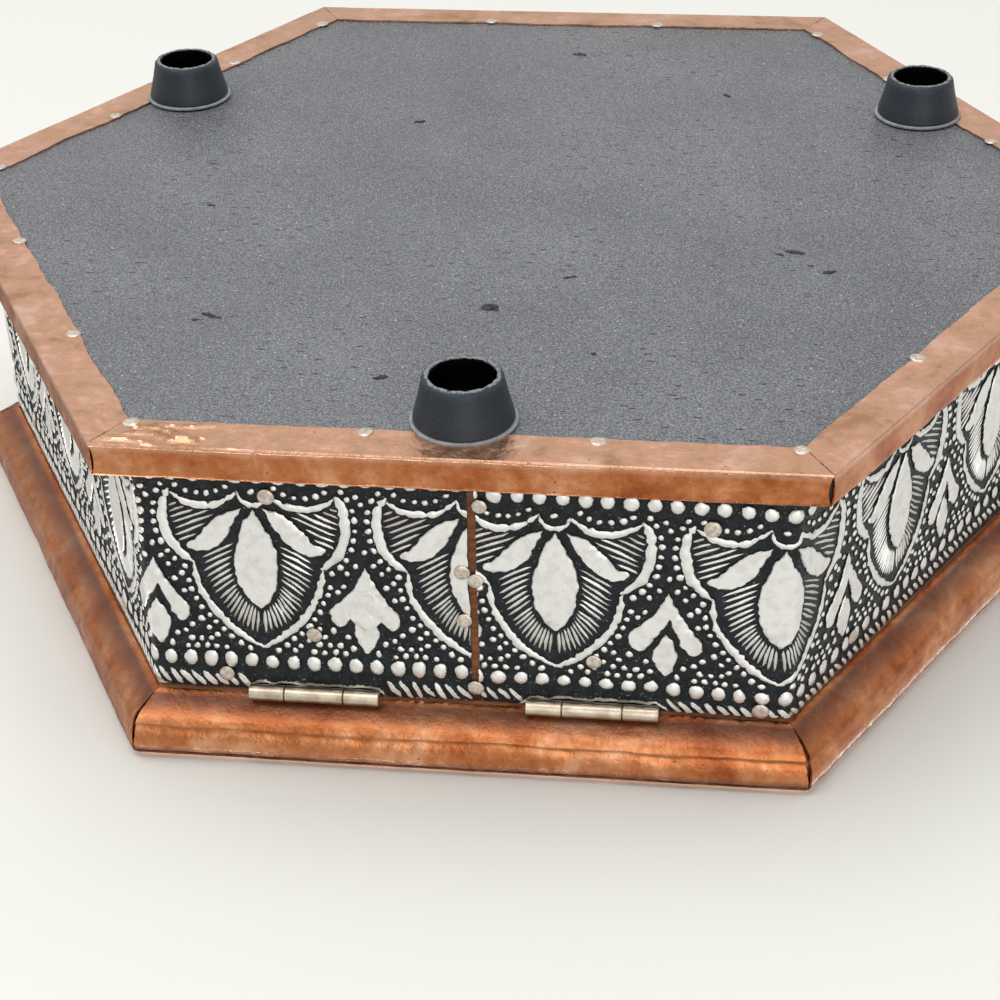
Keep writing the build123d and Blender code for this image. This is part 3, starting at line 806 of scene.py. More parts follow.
# Embossed ornament: raised shapes drawn flat, in mm, as the photograph shows them with the lid
# edge below; x is from the middle of a medallion and y from the outside of the lid
pitch = 42.6
chevronAt = pitch / 2 + 0.3
motif = {
    "petal": [[(0.2, 51.6), (1.2, 49.4), (2.4, 46.8), (3.8, 43.0), (4.25, 39.0), (3.6, 34.6),
               (2.1, 31.2), (0, 29.1)],
              [(0, 29.1), (-2.0, 31.0), (-3.6, 34.2), (-4.3, 38.8), (-3.9, 42.6), (-2.6, 46.4),
               (-1.5, 49.2), (0.2, 51.6)]],
    "leaf": [[(2.3, 51.8), (5.6, 50.7), (8.6, 48.3), (10.8, 45.5), (12.5, 44.1), (14.2, 43.2)],
             [(14.2, 43.2), (13.2, 42.1), (11.0, 41.8), (8.3, 42.7), (5.9, 45.0), (4.0, 48.2),
              (2.3, 51.8)]],
    "chevron": [[(-0.1, 39.8), (1.4, 36.2), (3.4, 32.6), (5.4, 30.0), (6.4, 28.4), (6.0, 26.2),
                 (4.3, 25.5), (2.9, 27.2), (1.6, 30.4), (0.2, 34.0)],
                [(0.2, 34.0), (-1.2, 31.4), (-2.9, 28.8), (-4.4, 26.4), (-6.2, 26.1), (-7.4, 27.6),
                 (-7.3, 29.6), (-5.0, 31.8), (-2.2, 35.6), (-0.1, 39.8)]],
    "drop": [[(-0.5, 30.2), (1.2, 27.4), (1.9, 24.8), (1.2, 22.2), (-0.5, 19.9)],
             [(-0.5, 19.9), (-2.2, 22.3), (-2.8, 24.9), (-2.1, 27.4), (-0.5, 30.2)]],
    "web": [[(-0.3, 36.0), (2.0, 33.0), (3.4, 29.6), (1.6, 26.4), (-0.4, 25.2), (-2.6, 26.8),
             (-4.2, 29.4), (-2.4, 33.2), (-0.3, 36.0)]],
    "rosette": [[(0, 34.5), (2.2, 38.5), (2.9, 42.5), (1.9, 46.5), (0, 49.5)],
                [(0, 49.5), (-1.9, 46.5), (-2.9, 42.5), (-2.2, 38.5), (0, 34.5)]],
}
bands = {  # x, y, half width
    "scallop": [(3.0, 55.2, 0.3), (6.2, 52.9, 0.6), (10.2, 52.1, 0.75), (13.4, 52.8, 0.65),
                (16.4, 54.9, 0.3)],
    "lobe": [(16.2, 55.6, 0.3), (17.9, 52.2, 0.85), (18.1, 47.4, 0.95), (16.9, 43.2, 0.9),
             (14.8, 40.4, 0.75), (12.6, 38.8, 0.35)],
    "bowl": [(12.7, 39.4, 0.25), (12.6, 35.8, 0.6), (11.1, 30.9, 0.7), (7.9, 26.2, 0.75),
             (3.9, 22.5, 0.65), (0.0, 20.3, 0.4)],
    "cup": [(-2.9, 55.6, 0.3), (-2.1, 53.5, 0.42), (0.1, 52.4, 0.5), (2.3, 53.4, 0.42),
            (3.0, 55.6, 0.3)],
}
rows = {"pearls": (17.0, 59.4), "ropes": (12.9, 64.2), "pearlPitch": 4.26, "ropePitch": 2.37}
ragged = {"outline": 0.2, "band": 0.16, "pace": 0.62, "bandPace": 0.775, "size": 1.1, "wide": 1.1,
          "widthSize": 0.9, "widthWaver": 0.6}
relief = {"top": 0.5, "shoulder": 0.2, "bandTop": 0.3, "cell": 1.5}


# The same line with points at an even pace
def evenly(line, pace, closed):
    if closed:
        line = np.concatenate([line, line[:1]])
    steps = np.hypot(*(line[1:, :2] - line[:-1, :2]).T)
    walked = np.concatenate([[0], np.cumsum(steps)])
    count = max(4, round(walked[-1] / pace))
    marks = np.linspace(0, walked[-1], count + 1)[:count if closed else count + 1]
    return np.stack([np.interp(marks, walked, column) for column in line.T], 1)


def squareTo(ahead):
    return np.stack([ahead[:, 1], -ahead[:, 0]], 1) / np.maximum(np.hypot(*ahead.T), 1e-6)[:, None]


def jagged(line, amount, seed):
    normal = squareTo(np.roll(line[:, :2], -1, axis=0) - np.roll(line[:, :2], 1, axis=0))
    push = np.array([noise.noise((x / ragged["size"], y / ragged["size"], seed)) for x, y in line[:, :2]])
    line = line.copy()
    line[:, :2] += normal * (amount * 2 * push)[:, None]
    return line


def outlineOf(name, flip=1, shift=0.0):
    return np.concatenate([throughPoints(part)[:-1] for part in motif[name]]) * (flip, 1) + (shift, 0)


def bandLine(name, flip=1):
    return throughPoints(bands[name]) * (flip, 1, 1)


def newCurve(name, line, closed=False, **settings):
    data = bpy.data.curves.new(name, "CURVE")
    path = data.splines.new("POLY")
    path.points.add(len(line) - 1)
    for point, place in zip(path.points, line):
        point.co = (place[0] * mm, place[1] * mm, 0, 1)
        point.radius = place[2] if len(place) > 2 else 1
    path.use_cyclic_u = closed
    for key, value in settings.items():
        setattr(data, key, value)
    obj = bpy.data.objects.new(name, data)
    bpy.context.collection.objects.link(obj)
    return obj


# The curve as a mesh, open for editing
def editAsMesh(obj):
    selectOnly(obj)
    bpy.ops.object.convert(target="MESH")
    startEdit(bpy.context.object)
    bpy.ops.mesh.remove_doubles(threshold=0.00001)
    return bpy.context.object


def setRise(obj, top):
    setValues(obj, "rise", np.clip(pointsOf(obj)[:, 2] / mm / top, 0, 1))
    return obj


def raisedShape(name, flip=1):
    line = outlineOf(name, flip)
    line = jagged(evenly(line, ragged["pace"], True), ragged["outline"], len(line) * 0.37)
    shoulder = relief["shoulder"] * mm
    shape = editAsMesh(newCurve(name, line, True, dimensions="2D", fill_mode="BOTH", bevel_depth=shoulder,
                            extrude=(relief["top"] - relief["shoulder"]) * mm, bevel_resolution=0,
                            offset=-shoulder * 0.6))
    pick(shape, lambda p: p.z < -0.35 * mm)  # the underside lies in the sheet
    bpy.ops.mesh.delete(type="VERT")
    evenNormals()
    bpy.ops.mesh.dissolve_limited(angle_limit=radians(0.5))
    for axis, way in enumerate(((1, 0, 0), (0, 1, 0))):  # even cells, so that dents fall softly
        for place in np.arange(line[:, axis].min() + 0.9, line[:, axis].max(), relief["cell"]):
            cutAt([place * part for part in way], way)
    endEdit()
    return setRise(shape, relief["top"])


bandSection = newCurve("band section", [(-1, -0.1), (-0.9, 0.3), (-0.45, 0.52), (0.45, 0.52),
                                        (0.9, 0.3), (1, -0.1)], dimensions="2D")


def raisedBand(line):
    line = jagged(evenly(line, ragged["bandPace"], False), ragged["band"], len(line) * 0.61)
    size, waver = ragged["widthSize"], ragged["widthWaver"]
    line[:, 2] *= [ragged["wide"] + waver * noise.noise((x / size, y / size, 7)) for x, y, _ in line]
    band = editAsMesh(newCurve("outline", line, dimensions="3D", twist_mode="Z_UP", bevel_mode="OBJECT",
                           bevel_object=bandSection))
    evenNormals()
    endEdit()
    if sum(face.normal.z for face in band.data.polygons) < 0:
        turnInsideOut(band)
    return setRise(band, relief["bandTop"])


def dome(segments, rings, size, lying=False):
    bpy.ops.mesh.primitive_uv_sphere_add(segments=segments, ring_count=rings, radius=mm)
    obj = bpy.context.object
    startEdit(obj)
    if lying:
        bpy.ops.transform.rotate(value=radians(90), orient_axis="Y", center_override=(0, 0, 0))
    pick(obj, lambda p: p.z < -0.4 * mm)
    bpy.ops.mesh.delete(type="VERT")
    bpy.ops.mesh.select_all(action="SELECT")
    stretch(*size)
    endEdit()
    return setRise(obj, size[2] * 0.8)


bead = dome(8, 6, (0.74, 0.74, 0.5))
pearl = dome(12, 8, (1.6, 1.82, 0.7))
scratch = dome(4, 4, (1, 0.29, 0.3), lying=True)  # one long, narrow stroke
twist = dome(6, 6, (2.2, 0.78, 0.55), lying=True)  # one turn of a rope
setValues(scratch, "rise", np.ones(len(scratch.data.vertices)))


def insideOf(line, points):
    x, y = points[:, 0], points[:, 1]
    inside = np.zeros(len(points), bool)
    for (ax, ay), (bx, by) in zip(line[:, :2], np.roll(line[:, :2], -1, axis=0)):
        if ay != by:
            inside ^= ((ay > y) != (by > y)) & (x < (bx - ax) * (y - ay) / (by - ay) + ax)
    return inside


def farFrom(line, points, gap):
    gaps = points[:, None, :2] - line[None, :, :2]
    return np.sqrt((gaps ** 2).sum(-1)).min(1) > gap


def clearOf(lines, points, gap):
    return np.all([~insideOf(line, points) & farFrom(line, points, gap) for line in lines], axis=0)


# One medallion's outline and the lines inside it
edgeRight, edgeLeft = [[bandLine(name, flip) for name in ("scallop", "lobe", "bowl")] for flip in (1, -1)]
cup = bandLine("cup")
medallionEdge = np.concatenate([*edgeRight, *(line[::-1] for line in edgeLeft[::-1]), cup])[:, :2]
petals = [outlineOf("petal"), outlineOf("leaf"), outlineOf("leaf", -1)]

# Scratched fans: where a stroke starts, its turn in degrees and how far it reaches, for each k
fans = {"pace": 0.2, "shortest": 2.0, "wall": 1.05, "petal": 0.6, "runs": (
    (11, lambda k: (2.0, 60.6 - 1.3 * k, -22 - 0.5 * k, 12)),  # over the leaves
    # beside the petal and round its tip, in an ever steeper fan
    (9, lambda k: (4.3, 46.4 - 1.3 * k, -27 - 1.6 * k, 8.6 - 0.3 * k)),
    (10, lambda k: (4.0 * cos(radians(9 * k)), 34.6 - 5.4 * sin(radians(9 * k)), -42 - 5.0 * k,
                    6.2 - 0.05 * k)))}


# The longest free run of each stroke between the medallion's wall and the petals
def strokesIn(starts):
    pace = fans["pace"]
    for x, y, turn, reach in starts:
        steps = np.arange(0, 24, pace)
        run = np.stack([x + steps * cos(radians(turn)), y + steps * sin(radians(turn))], 1)
        free = (insideOf(medallionEdge, run) & farFrom(medallionEdge, run, fans["wall"])
                & clearOf(petals, run, fans["petal"]))
        longest, last, count = 0, 0, 0
        for i, good in enumerate(free):
            count = count + 1 if good else 0
            if count > longest:
                longest, last = count, i
        if longest * pace > fans["shortest"]:
            first = last - longest + 1
            yield run[first], run[min(last, first + round(reach / pace))], turn


def medallion():
    parts = [raisedShape("petal"), raisedShape("leaf"), raisedShape("leaf", -1)]
    parts += [raisedBand(line) for line in edgeRight + edgeLeft + [cup]]
    parts.append(copyTo(bead, moved(0.2, 55.6)))
    for flip in (1, -1):
        starts = [run(k) for count, run in fans["runs"] for k in range(count)]
        if flip < 0:
            starts = [(-x, y, 180 - turn, reach) for x, y, turn, reach in starts]
        for start, end, turn in strokesIn(starts):
            middle, length = (start + end) / 2, np.linalg.norm(end - start)
            size = sized(length / 2 * chance.uniform(0.85, 1.0), chance.uniform(0.85, 1.2))
            parts.append(copyTo(scratch, moved(*middle) @ turnZ(turn) @ size))
    return join(parts, "medallion")


medal = medallion()
chevron = join([raisedShape("chevron"), raisedShape("drop")], "chevron")
web = raisedShape("web")
print("ornament drawn:", len(medal.data.polygons), "faces in a medallion")

# Small beads stand in rows above the scallops, beside the walls and round the chevron, and then
# fill what is left
beadRows = {"from": 19.3, "to": 57.4, "apart": 1.85, "chevronGap": 1.15,
            "scallop": (2.7, 2.3, 1.5), "wall": ((1.85, 3.7), 2.05, 1.3),  # away, pace and gap
            "shape": (1.75, 2.0, 1.3), "fill": (2.05, 1.8, 1.3, 1.75)}  # pace along and up, gap, apart


def beadPlaces():
    plan = beadRows
    walls = [medallionEdge, medallionEdge + (pitch, 0)]
    shapes = [outlineOf(name, 1, chevronAt) for name in ("chevron", "drop")]
    wanted = []

    def offer(points, clear, apart=plan["apart"]):
        spots = np.array(points)
        good = (spots[:, 1] > plan["from"]) & (spots[:, 1] < plan["to"])
        good &= clearOf(walls, spots, clear) & clearOf(shapes, spots, plan["chevronGap"])
        for x, y in spots[good]:
            if all(hypot((x - p + pitch / 2) % pitch - pitch / 2, y - q) > apart for p, q in wanted):
                wanted.append((x, y))

    def beside(line, away, pace):
        line = evenly(line, 0.2, False)
        return (line + squareTo(np.gradient(line, axis=0)) * away)[::round(pace / 0.2)]

    above, pace, gap = plan["scallop"]
    scallop = evenly(bandLine("scallop"), pace, False)[1:-1]
    offer([(x, y + above) for x, y, _ in scallop], gap)
    offer([(pitch - x, y + above) for x, y, _ in scallop], gap)
    right = np.concatenate(edgeRight[1:])[:, :2]
    left = np.concatenate(edgeLeft[1:])[:, :2] + (pitch, 0)
    aways, pace, gap = plan["wall"]
    for away in aways:
        offer(beside(right, -away, pace), gap)
        offer(beside(left, away, pace), gap)
    away, pace, gap = plan["shape"]
    for line in shapes:
        closed = np.concatenate([line, line[:1]])
        offer(beside(closed, -away, pace), gap)
        offer(beside(closed, away, pace), gap)
    along, up, gap, apart = plan["fill"]
    for j in range(28):
        offer([(i * along + (j % 2) * 1.03, 19.6 + j * up) for i in range(21)], gap, apart)
    return wanted


beads = beadPlaces()
print("small beads in one repeat:", len(beads))


def ornamentTile():
    parts = [copyTo(medal, moved(0)), copyTo(chevron, moved(chevronAt))]
    for x, y in beads:
        size = chance.uniform(0.85, 1.12)
        place = moved(x + chance.uniform(-0.12, 0.12), y + chance.uniform(-0.12, 0.12))
        parts.append(copyTo(bead, place @ sized(size, size * chance.uniform(0.9, 1.1))
                            @ turnZ(chance.uniform(0, 45))))
    for height in rows["pearls"]:
        for i in range(10):
            size = chance.uniform(0.92, 1.04)
            parts.append(copyTo(pearl, moved((i + 0.35) * rows["pearlPitch"], height) @ sized(size, size)))
    return join(parts, "ornament tile")


tile = ornamentTile()
print("one repeat:", triangles(tile), "triangles")


# Each wall sheet is one long strip: ground and repeats laid flat, cut to length, dented, and
# then wrapped round three corners of the box
sheetPlan = {"ground": 109.95, "low": 17.6, "high": 71.5, "patternTop": 82.4, "round": 1.6,
             "thick": 0.35, "cell": 1.45,
             "dents": [("sway", 0.8, "X"), ("sag", 0.8, "Y"), ("fray", 0.4, "X"), ("fray", 0.4, "Y"),
                       ("dent", 0.25, "Z"), ("rough", 0.16, "Z")]}
half = sheetPlan["ground"] * slant
sheets = {  # x of the back seam's edge, x of a medallion's middle on the back, and how the hand
            # punched rows wander: x with its shift along and up, y with its shift up
    "left": {"seam": 0.7, "medallion": 1.5,
             "wander": [(-380, 0, 0), (-130, -1.4, 0.3), (-84, 1.2, 0.4), (-41, 0.2, 0), (2, 0, 0)],
             "lift": [(10, -0.3), (13, 0.1), (17, 1.2), (29, 1.9), (52, 2.3), (57, 2.3), (59.4, 1.3),
                      (64, 0.6)]},
    "right": {"seam": 2.3, "medallion": 17.4,
              "wander": [(2, 0, 0.4), (20, 0, 0.1), (40, 0.4, -0.5), (60, 0.9, -1.5), (77, 1.6, -0.9),
                         (105, 1.9, 0.0), (127, 1.2, 0.9), (145, 0.8, 1.2), (200, 0, 0.4), (300, 0, -0.4),
                         (385, 0, 0)],
              "lift": [(10, 0), (60, 0)]},
}
frontSeam = 0.15
hingePlaces = (-31.0, 24.8)
# Behind each hinge the sheet's edge was pushed up in ragged folds
hingeNotch = {"half": 14.2, "fade": 1.6, "height": 6.0, "depth": 1.7, "crumple": 0.5}
# Folds and cut edges are rubbed bare
rubbed = {"fold": (0.42, 0.9), "border": (0.5, 0.35)}


# The strip's way round three corners, its length, and how far along it bends
def wrapPath(side, seam):
    reach, bend = sheetPlan["ground"], sheetPlan["round"]
    corner = half - bend * slant
    right = side == "right"
    points = []
    for i, turn in enumerate([0, -60, -120, -180] if right else [180, 120, 60, 0]):
        start = -corner if i else (seam if right else frontSeam)
        end = corner if i < 3 else (-frontSeam if right else seam)
        if i:
            points += [Matrix.Rotation(radians(turn), 3, "Z") @ Vector((-corner, reach - bend, 0))
                       + Matrix.Rotation(radians(turn + 60 - 60 * k / 6), 3, "Z") @ Vector((0, bend, 0))
                       for k in range(1, 6)]
        points += [Matrix.Rotation(radians(turn), 3, "Z") @ Vector((x, reach, 0)) for x in (start, end)]
    steps = [(q - p).length for p, q in zip(points, points[1:])]
    bends = [sum(steps[:i]) + step / 2 for i, step in enumerate(steps) if step < 1]
    curve = newCurve("wrap", [point.xy for point in points], dimensions="3D", twist_mode="Z_UP")
    return curve, sum(steps), bends


def wander(raised, spec, start):
    spots = pointsOf(raised) / mm
    x, along, up = (np.array(column, float) for column in zip(*spec["wander"]))
    y, lift = (np.array(column, float) for column in zip(*spec["lift"]))
    at = spots[:, 0] + start
    spots[:, 0] += np.interp(at, x, along)
    spots[:, 1] += np.interp(at, x, up) + np.interp(spots[:, 1], y, lift)
    setPoints(raised, spots * mm)


def nearHinge(x):
    return min(abs(x - place) for place in hingePlaces) < hingeNotch["half"]


def groundStrip(length, low, high):
    plan = sheetPlan
    bpy.ops.mesh.primitive_grid_add(x_subdivisions=round(length / plan["cell"]),
                                    y_subdivisions=round((high - low) / plan["cell"]), size=1)
    ground = bpy.context.object
    startEdit(ground)
    stretch(length * mm, (high - low) * mm, 1)
    slide(length / 2, (low + high) / 2, 0)
    drawOut(0, 0, -plan["thick"], kind="region")
    evenNormals()
    endEdit()
    setValues(ground, "rise", np.zeros(len(ground.data.vertices)))
    return ground


def raisedStrip(side, spec, start, length, low, high):
    parts, first = [], spec["medallion"] - start
    for i in range(-int(first // pitch) - 1, int((length - first) // pitch) + 2):
        parts.append(copyTo(tile, moved(first + i * pitch)))
    if side == "left":
        parts.append(copyTo(web, moved(first - pitch / 2 + 0.3)))
    for height in rows["ropes"]:
        for i in range(-1, round(length / rows["ropePitch"]) + 2):
            if height < 20 and nearHinge(start + i * rows["ropePitch"]):
                continue
            size = sized(chance.uniform(0.85, 1.08), chance.uniform(0.85, 1.15))
            place = moved(i * rows["ropePitch"], height)
            parts.append(copyTo(twist, place @ turnZ(-50 + chance.uniform(-8, 8)) @ size))
    raised = join(parts, "raised")
    wander(raised, spec, start)
    startEdit(raised)
    for place, way in (((0, 0, 0), (-1, 0, 0)), ((length, 0, 0), (1, 0, 0)),
                       ((0, low + 0.1, 0), (0, -1, 0)), ((0, high - 0.1, 0), (0, 1, 0))):
        cutAt(place, way, clear_outer=True)
    endEdit()
    return raised


def embossedSheet(side):
    plan, spec, notch = sheetPlan, sheets[side], hingeNotch
    curve, length, bends = wrapPath(side, spec["seam"])
    start = spec["seam"] if side == "right" else spec["seam"] - length
    low, high = plan["patternTop"] - plan["high"], plan["patternTop"] - plan["low"]
    whole = join([groundStrip(length, low, high), raisedStrip(side, spec, start, length, low, high)],
                 "wallSheet" + side.title())
    startEdit(whole)
    for bend in bends:
        cutAt((bend, 0, 0), (1, 0, 0))
    endEdit()

    spots = pointsOf(whole) / mm
    x, y = spots[:, 0].copy(), spots[:, 1].copy()
    fold = np.min([np.abs(x - bend) for bend in bends], axis=0)
    border = np.maximum(np.minimum.reduce([x, length - x, y - low, high - y]), 0)
    rise = getValues(whole, "rise")
    for gap, (amount, width) in ((fold, rubbed["fold"]), (border, rubbed["border"])):
        rise = rise + amount * np.exp(-(gap / width) ** 2)
    off = np.min([np.abs(x + start - place) for place in hingePlaces], axis=0)
    pushed = np.clip((notch["half"] - off) / notch["fade"], 0, 1)
    below = np.clip(1 - (y - low) / notch["height"], 0, 1)
    ruck = np.array([noise.noise((across / 1.7, up / 1.2, 3)) for across, up in zip(x, y)])
    ruck *= (below > 0) & (pushed > 0)
    spots[:, 1] += pushed * below * (notch["depth"] + 0.9 * ruck)
    spots[:, 2] += pushed * below ** 2 * (notch["crumple"] * np.abs(ruck) * 1.8 + 0.25)
    setPoints(whole, spots * mm)
    setValues(whole, "rise", np.clip(rise + pushed * np.clip(below - 0.72, 0, 1) * 8, 0, 1))
    return whole, curve


embossing = {"sway": cloudTexture("emboss sway", 7, 2), "sag": cloudTexture("emboss sag", 6, 2),
             "fray": cloudTexture("emboss fray", 1.3, 1), "dent": cloudTexture("emboss dents", 11, 2),
             "rough": cloudTexture("emboss rough", 1.6, 2)}


def dentSheet(whole, dents):
    for kind, height, way in dents:
        ripple(whole, embossing[kind], height, way)
    applyModifiers(whole)


for side in sheets:
    sheet, curve = embossedSheet(side)
    dentSheet(sheet, sheetPlan["dents"])
    sheet.data.transform(moved(0, 0, sheetPlan["patternTop"]) @ Matrix.Rotation(radians(-90), 4, "X"))
    sheet.modifiers.new("wrap", "CURVE").object = curve
    finishPiece(sheet, sheet.name, "case", "white_metal", metal, "wall_sheet_" + side)
    drop(curve)
    print(sheet.name, triangles(sheet), "triangles")


# The base and lid boards, sawn and with their arrises eased; they stand just inside the strips
boards = {  # reach, bottom and top in mm
    "base_board": ("baseBoard", "case", (118.2, 10.4, 17.0), "black_board", paint),
    "lid_board": ("lidBoard", "lid", (116.9, 77.2, 83.0), "box_wood", wood),
}
for node, (name, body, (reach, low, high), slotName, material) in boards.items():
    board = hexagon(reach, "NGON")
    startEdit(board)
    slide(0, 0, low)
    drawOut(0, 0, high - low, kind="region")
    evenNormals()
    bpy.ops.mesh.bevel(offset=0.3 * mm, segments=2)
    endEdit()
    finishPiece(board, name, body, slotName, material, node, angle=30)


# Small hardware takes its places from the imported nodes
def looseParts(name):
    shape = bmesh.new()
    shape.from_mesh(nodes[name].data)
    bmesh.ops.remove_doubles(shape, verts=shape.verts, dist=0.000001)
    seen, groups = set(), []
    for first in shape.verts:  # in the mesh's own order, so that each run gives each nail the same lean
        if first in seen:
            continue
        seen.add(first)
        waiting, group = [first], []
        while waiting:
            vert = waiting.pop()
            group.append(vert.co.copy())
            for other in [edge.other_vert(vert) for edge in vert.link_edges]:
                if other not in seen:
                    seen.add(other)
                    waiting.append(other)
        groups.append(group)
    shape.free()
    return groups


# A piece turned round the upright axis from its profile of radius and height
def turnedPiece(profile, sides):
    radius, height = profile[0]
    bpy.ops.mesh.primitive_circle_add(vertices=sides, radius=radius * mm, fill_type="NOTHING")
    obj = bpy.context.object
    startEdit(obj)
    slide(0, 0, height)
    for before, after in zip(profile, profile[1:]):
        drawOut(0, 0, after[1] - before[1])
        stretch(after[0] / before[0], after[0] / before[0], 1)
    bpy.ops.mesh.select_all(action="SELECT")
    bpy.ops.mesh.remove_doubles(threshold=0.00002)
    bpy.ops.mesh.normals_make_consistent(inside=False)
    endEdit()
    return obj


def sideways(middle):
    return max((outwards(turn) for turn in sideTurns.values()), key=lambda out: out.dot(middle))


# Nails: thin flat heads, hammered a little out of true, on pointed shanks
nails = {  # head radius, head thickness, shank radius, length under the head, and the way out
    "base_brads": ("baseBrads", "case", (1.5, 0.5, 0.5, 3.5), lambda middle: Vector((0, 0, -1))),
    "lid_brads": ("lidBrads", "lid", (1.5, 0.5, 0.5, 3.5), lambda middle: Vector((0, 0, 1))),
    "sheet_brads": ("sheetBrads", "case", (1.5, 0.5, 0.5, 3.5), sideways),
    "board_nails": ("boardNails", "case", (1.3, 0.4, 0.7, 14.0), lambda middle: Vector((0, 0, -1))),
}
hammered = cloudTexture("hammered", 0.9, 1)


def nailRow(node, name, body, shape, wayOut):
    radius, thick, shank, length = shape
    pattern = turnedPiece([(0.02, -length), (shank, -length + 1.2), (shank, -0.02), (radius * 0.9, 0.0),
                           (radius, 0.1), (radius * 0.97, thick * 0.66), (radius * 0.86, thick * 0.9),
                           (radius * 0.5, thick), (0.02, thick)], 20)
    heads = []
    for part in looseParts(node):
        way = wayOut(sum(part, Vector()) / len(part))
        far = max(point.dot(way) for point in part)
        face = [point for point in part if point.dot(way) > far - 0.00002]
        top = sum(face, Vector()) / len(face)
        lean = Euler((radians(chance.uniform(-3, 3)), radians(chance.uniform(-3, 3)), chance.uniform(0, 6)))
        turn = (way.to_track_quat("Z", "Y").to_matrix() @ lean.to_matrix()).to_4x4()
        size = chance.uniform(1.04, 1.18)
        heads.append(copyTo(pattern, Matrix.Translation(top - way * (thick + 0.1) * mm) @ turn
                            @ sized(size, size * chance.uniform(0.92, 1.04))))
    drop(pattern)
    whole = join(heads, name)
    ripple(whole, hammered, 0.14, "NORMAL", middle=1.0)
    finishPiece(whole, name, body, "nickel", headNickel, node)


for node, spec in nails.items():
    nailRow(node, *spec)
print("nails set")

# Lumps and flakes of dry paint on the underside, as the photograph shows them: x, y, width, length
paintLumps = {"size": [(-0.8, 57.5, 1.3, 2.0), (0.6, 58.6, 0.6, 0.8), (61.2, 26.7, 0.7, 2.6),
                       (58.0, 28.2, 0.4, 1.2), (68.5, 35.9, 0.7, 1.8), (64.6, 33.0, 0.4, 0.9),
                       (-57.6, 65.6, 0.6, 2.8), (-60.2, 67.6, 0.5, 1.2), (-18.5, 88.8, 0.7, 1.8),
                       (14.3, 42.4, 0.5, 1.6), (-9.4, 84.5, 0.5, 1.0), (22.0, 76.0, 0.5, 0.8),
                       (-30.0, -40.0, 0.7, 1.6), (44.0, -62.0, 0.6, 1.4), (-70.0, 12.0, 0.5, 1.1),
                       (5.0, -88.0, 0.8, 1.9)],
              "level": 10.4, "height": 0.7}
bpy.ops.mesh.primitive_ico_sphere_add(subdivisions=3, radius=mm)
lump = bpy.context.object
flakes = []
for x, y, width, length in paintLumps["size"]:
    turn = turnZ(chance.uniform(-25, 40))
    flakes.append(copyTo(lump, moved(x, y, paintLumps["level"]) @ turn
                         @ sized(length, width, paintLumps["height"] * min(1, width))))
drop(lump)
flakes = join(flakes, "paintLumps")
ripple(flakes, cloudTexture("lump", 0.8, 2), 1.0, "NORMAL", middle=0.62)
finishPiece(flakes, "paintLumps", "case", "black_board", lumpPaint, angle=60)

# Rubber feet: hollow cones on a grey flange, held by a screw at the bottom of the hollow
footPlan = {"reach": 104.4, "sides": {"back": 0, "front_left": 120, "front_right": 240},
            "foot": [(1.7, 9.4), (9.4, 9.4), (9.7, 9.1), (9.62, 8.4), (9.05, 6.3), (8.5, 4.2), (8.0, 1.9),
                     (7.8, 0.9), (7.66, 0.4), (7.3, 0.1), (6.9, 0.0), (6.45, 0.05), (6.15, 0.35),
                     (6.02, 1.2), (5.8, 3.2), (5.45, 5.4), (5.1, 6.3), (4.6, 6.6), (1.7, 6.6), (1.7, 9.4)],
            "washer": [(1.7, 9.4), (10.0, 9.4), (10.3, 9.55), (10.3, 9.9), (10.1, 10.0), (1.7, 10.0),
                       (1.7, 9.4)],
            "screw": [(0.02, 5.5), (1.2, 5.42), (2.3, 5.55), (2.95, 5.85), (3.2, 6.3), (3.15, 6.6),
                      (1.3, 6.6), (1.3, 13.2), (0.02, 14.0)],
            "recess": (3.4, 0.55, 1.2), "wornBelow": 0.45, "hollow": (6.55, 6.7)}
footTexture = cloudTexture("worn rim", 1.1, 2)
foot = turnedPiece(footPlan["foot"], 96)
rimWear = foot.vertex_groups.new(name="rim")
for index, point in enumerate(pointsOf(foot)):
    rimWear.add([index], 1.0 if point[2] < footPlan["wornBelow"] * mm else 0.0, "REPLACE")
washer = turnedPiece(footPlan["washer"], 72)
screw = turnedPiece(footPlan["screw"], 40)
for turn in (0, 90):
    bpy.ops.mesh.primitive_cube_add(size=1)
    blade = bpy.context.object
    blade.data.transform(moved(0, 0, footPlan["screw"][0][1]) @ turnZ(turn)
                         @ sized(*[width * mm for width in footPlan["recess"]]))
    screw.modifiers.new("recess", "BOOLEAN").object = blade
    applyModifiers(screw)
    drop(blade)
washers, screws = [], []
for side, turn in footPlan["sides"].items():
    place = turnZ(turn) @ moved(0, footPlan["reach"])
    rubberFoot = copyTo(foot, place @ turnZ(chance.uniform(0, 300)))
    ripple(rubberFoot, footTexture, 0.5, "NORMAL", group="rim", middle=0.95)
    finishPiece(rubberFoot, "foot" + titled(side), "case", "foot_rubber", rubber, "foot_" + side, angle=45)
    spots = pointsOf(rubberFoot) / mm
    away = np.hypot(*(spots[:, :2] - np.array(place.translation[:2]) / mm).T)
    setValues(rubberFoot, "wear", np.clip(1.25 - spots[:, 2] / 0.6, 0, 1))
    # painted shade: the faces inside the hollow take the pitch black rubber
    inShadedHollow = (away < footPlan["hollow"][0]) & (spots[:, 2] < footPlan["hollow"][1])
    rubberFoot.data.materials.append(rubberHollowShade)
    for face in rubberFoot.data.polygons:
        face.material_index = 1 if all(inShadedHollow[i] for i in face.vertices) else 0
    washers.append(copyTo(washer, place))
    screws.append(copyTo(screw, place @ turnZ(chance.uniform(0, 90))))
finishPiece(join(washers, "washers"), "footWashers", "case", "grey_washer", washerGrey, "foot_washers")
finishPiece(join(screws, "screws"), "footScrews", "case", "zinc_steel", zinc, "foot_screws")
drop(foot, washer, screw)
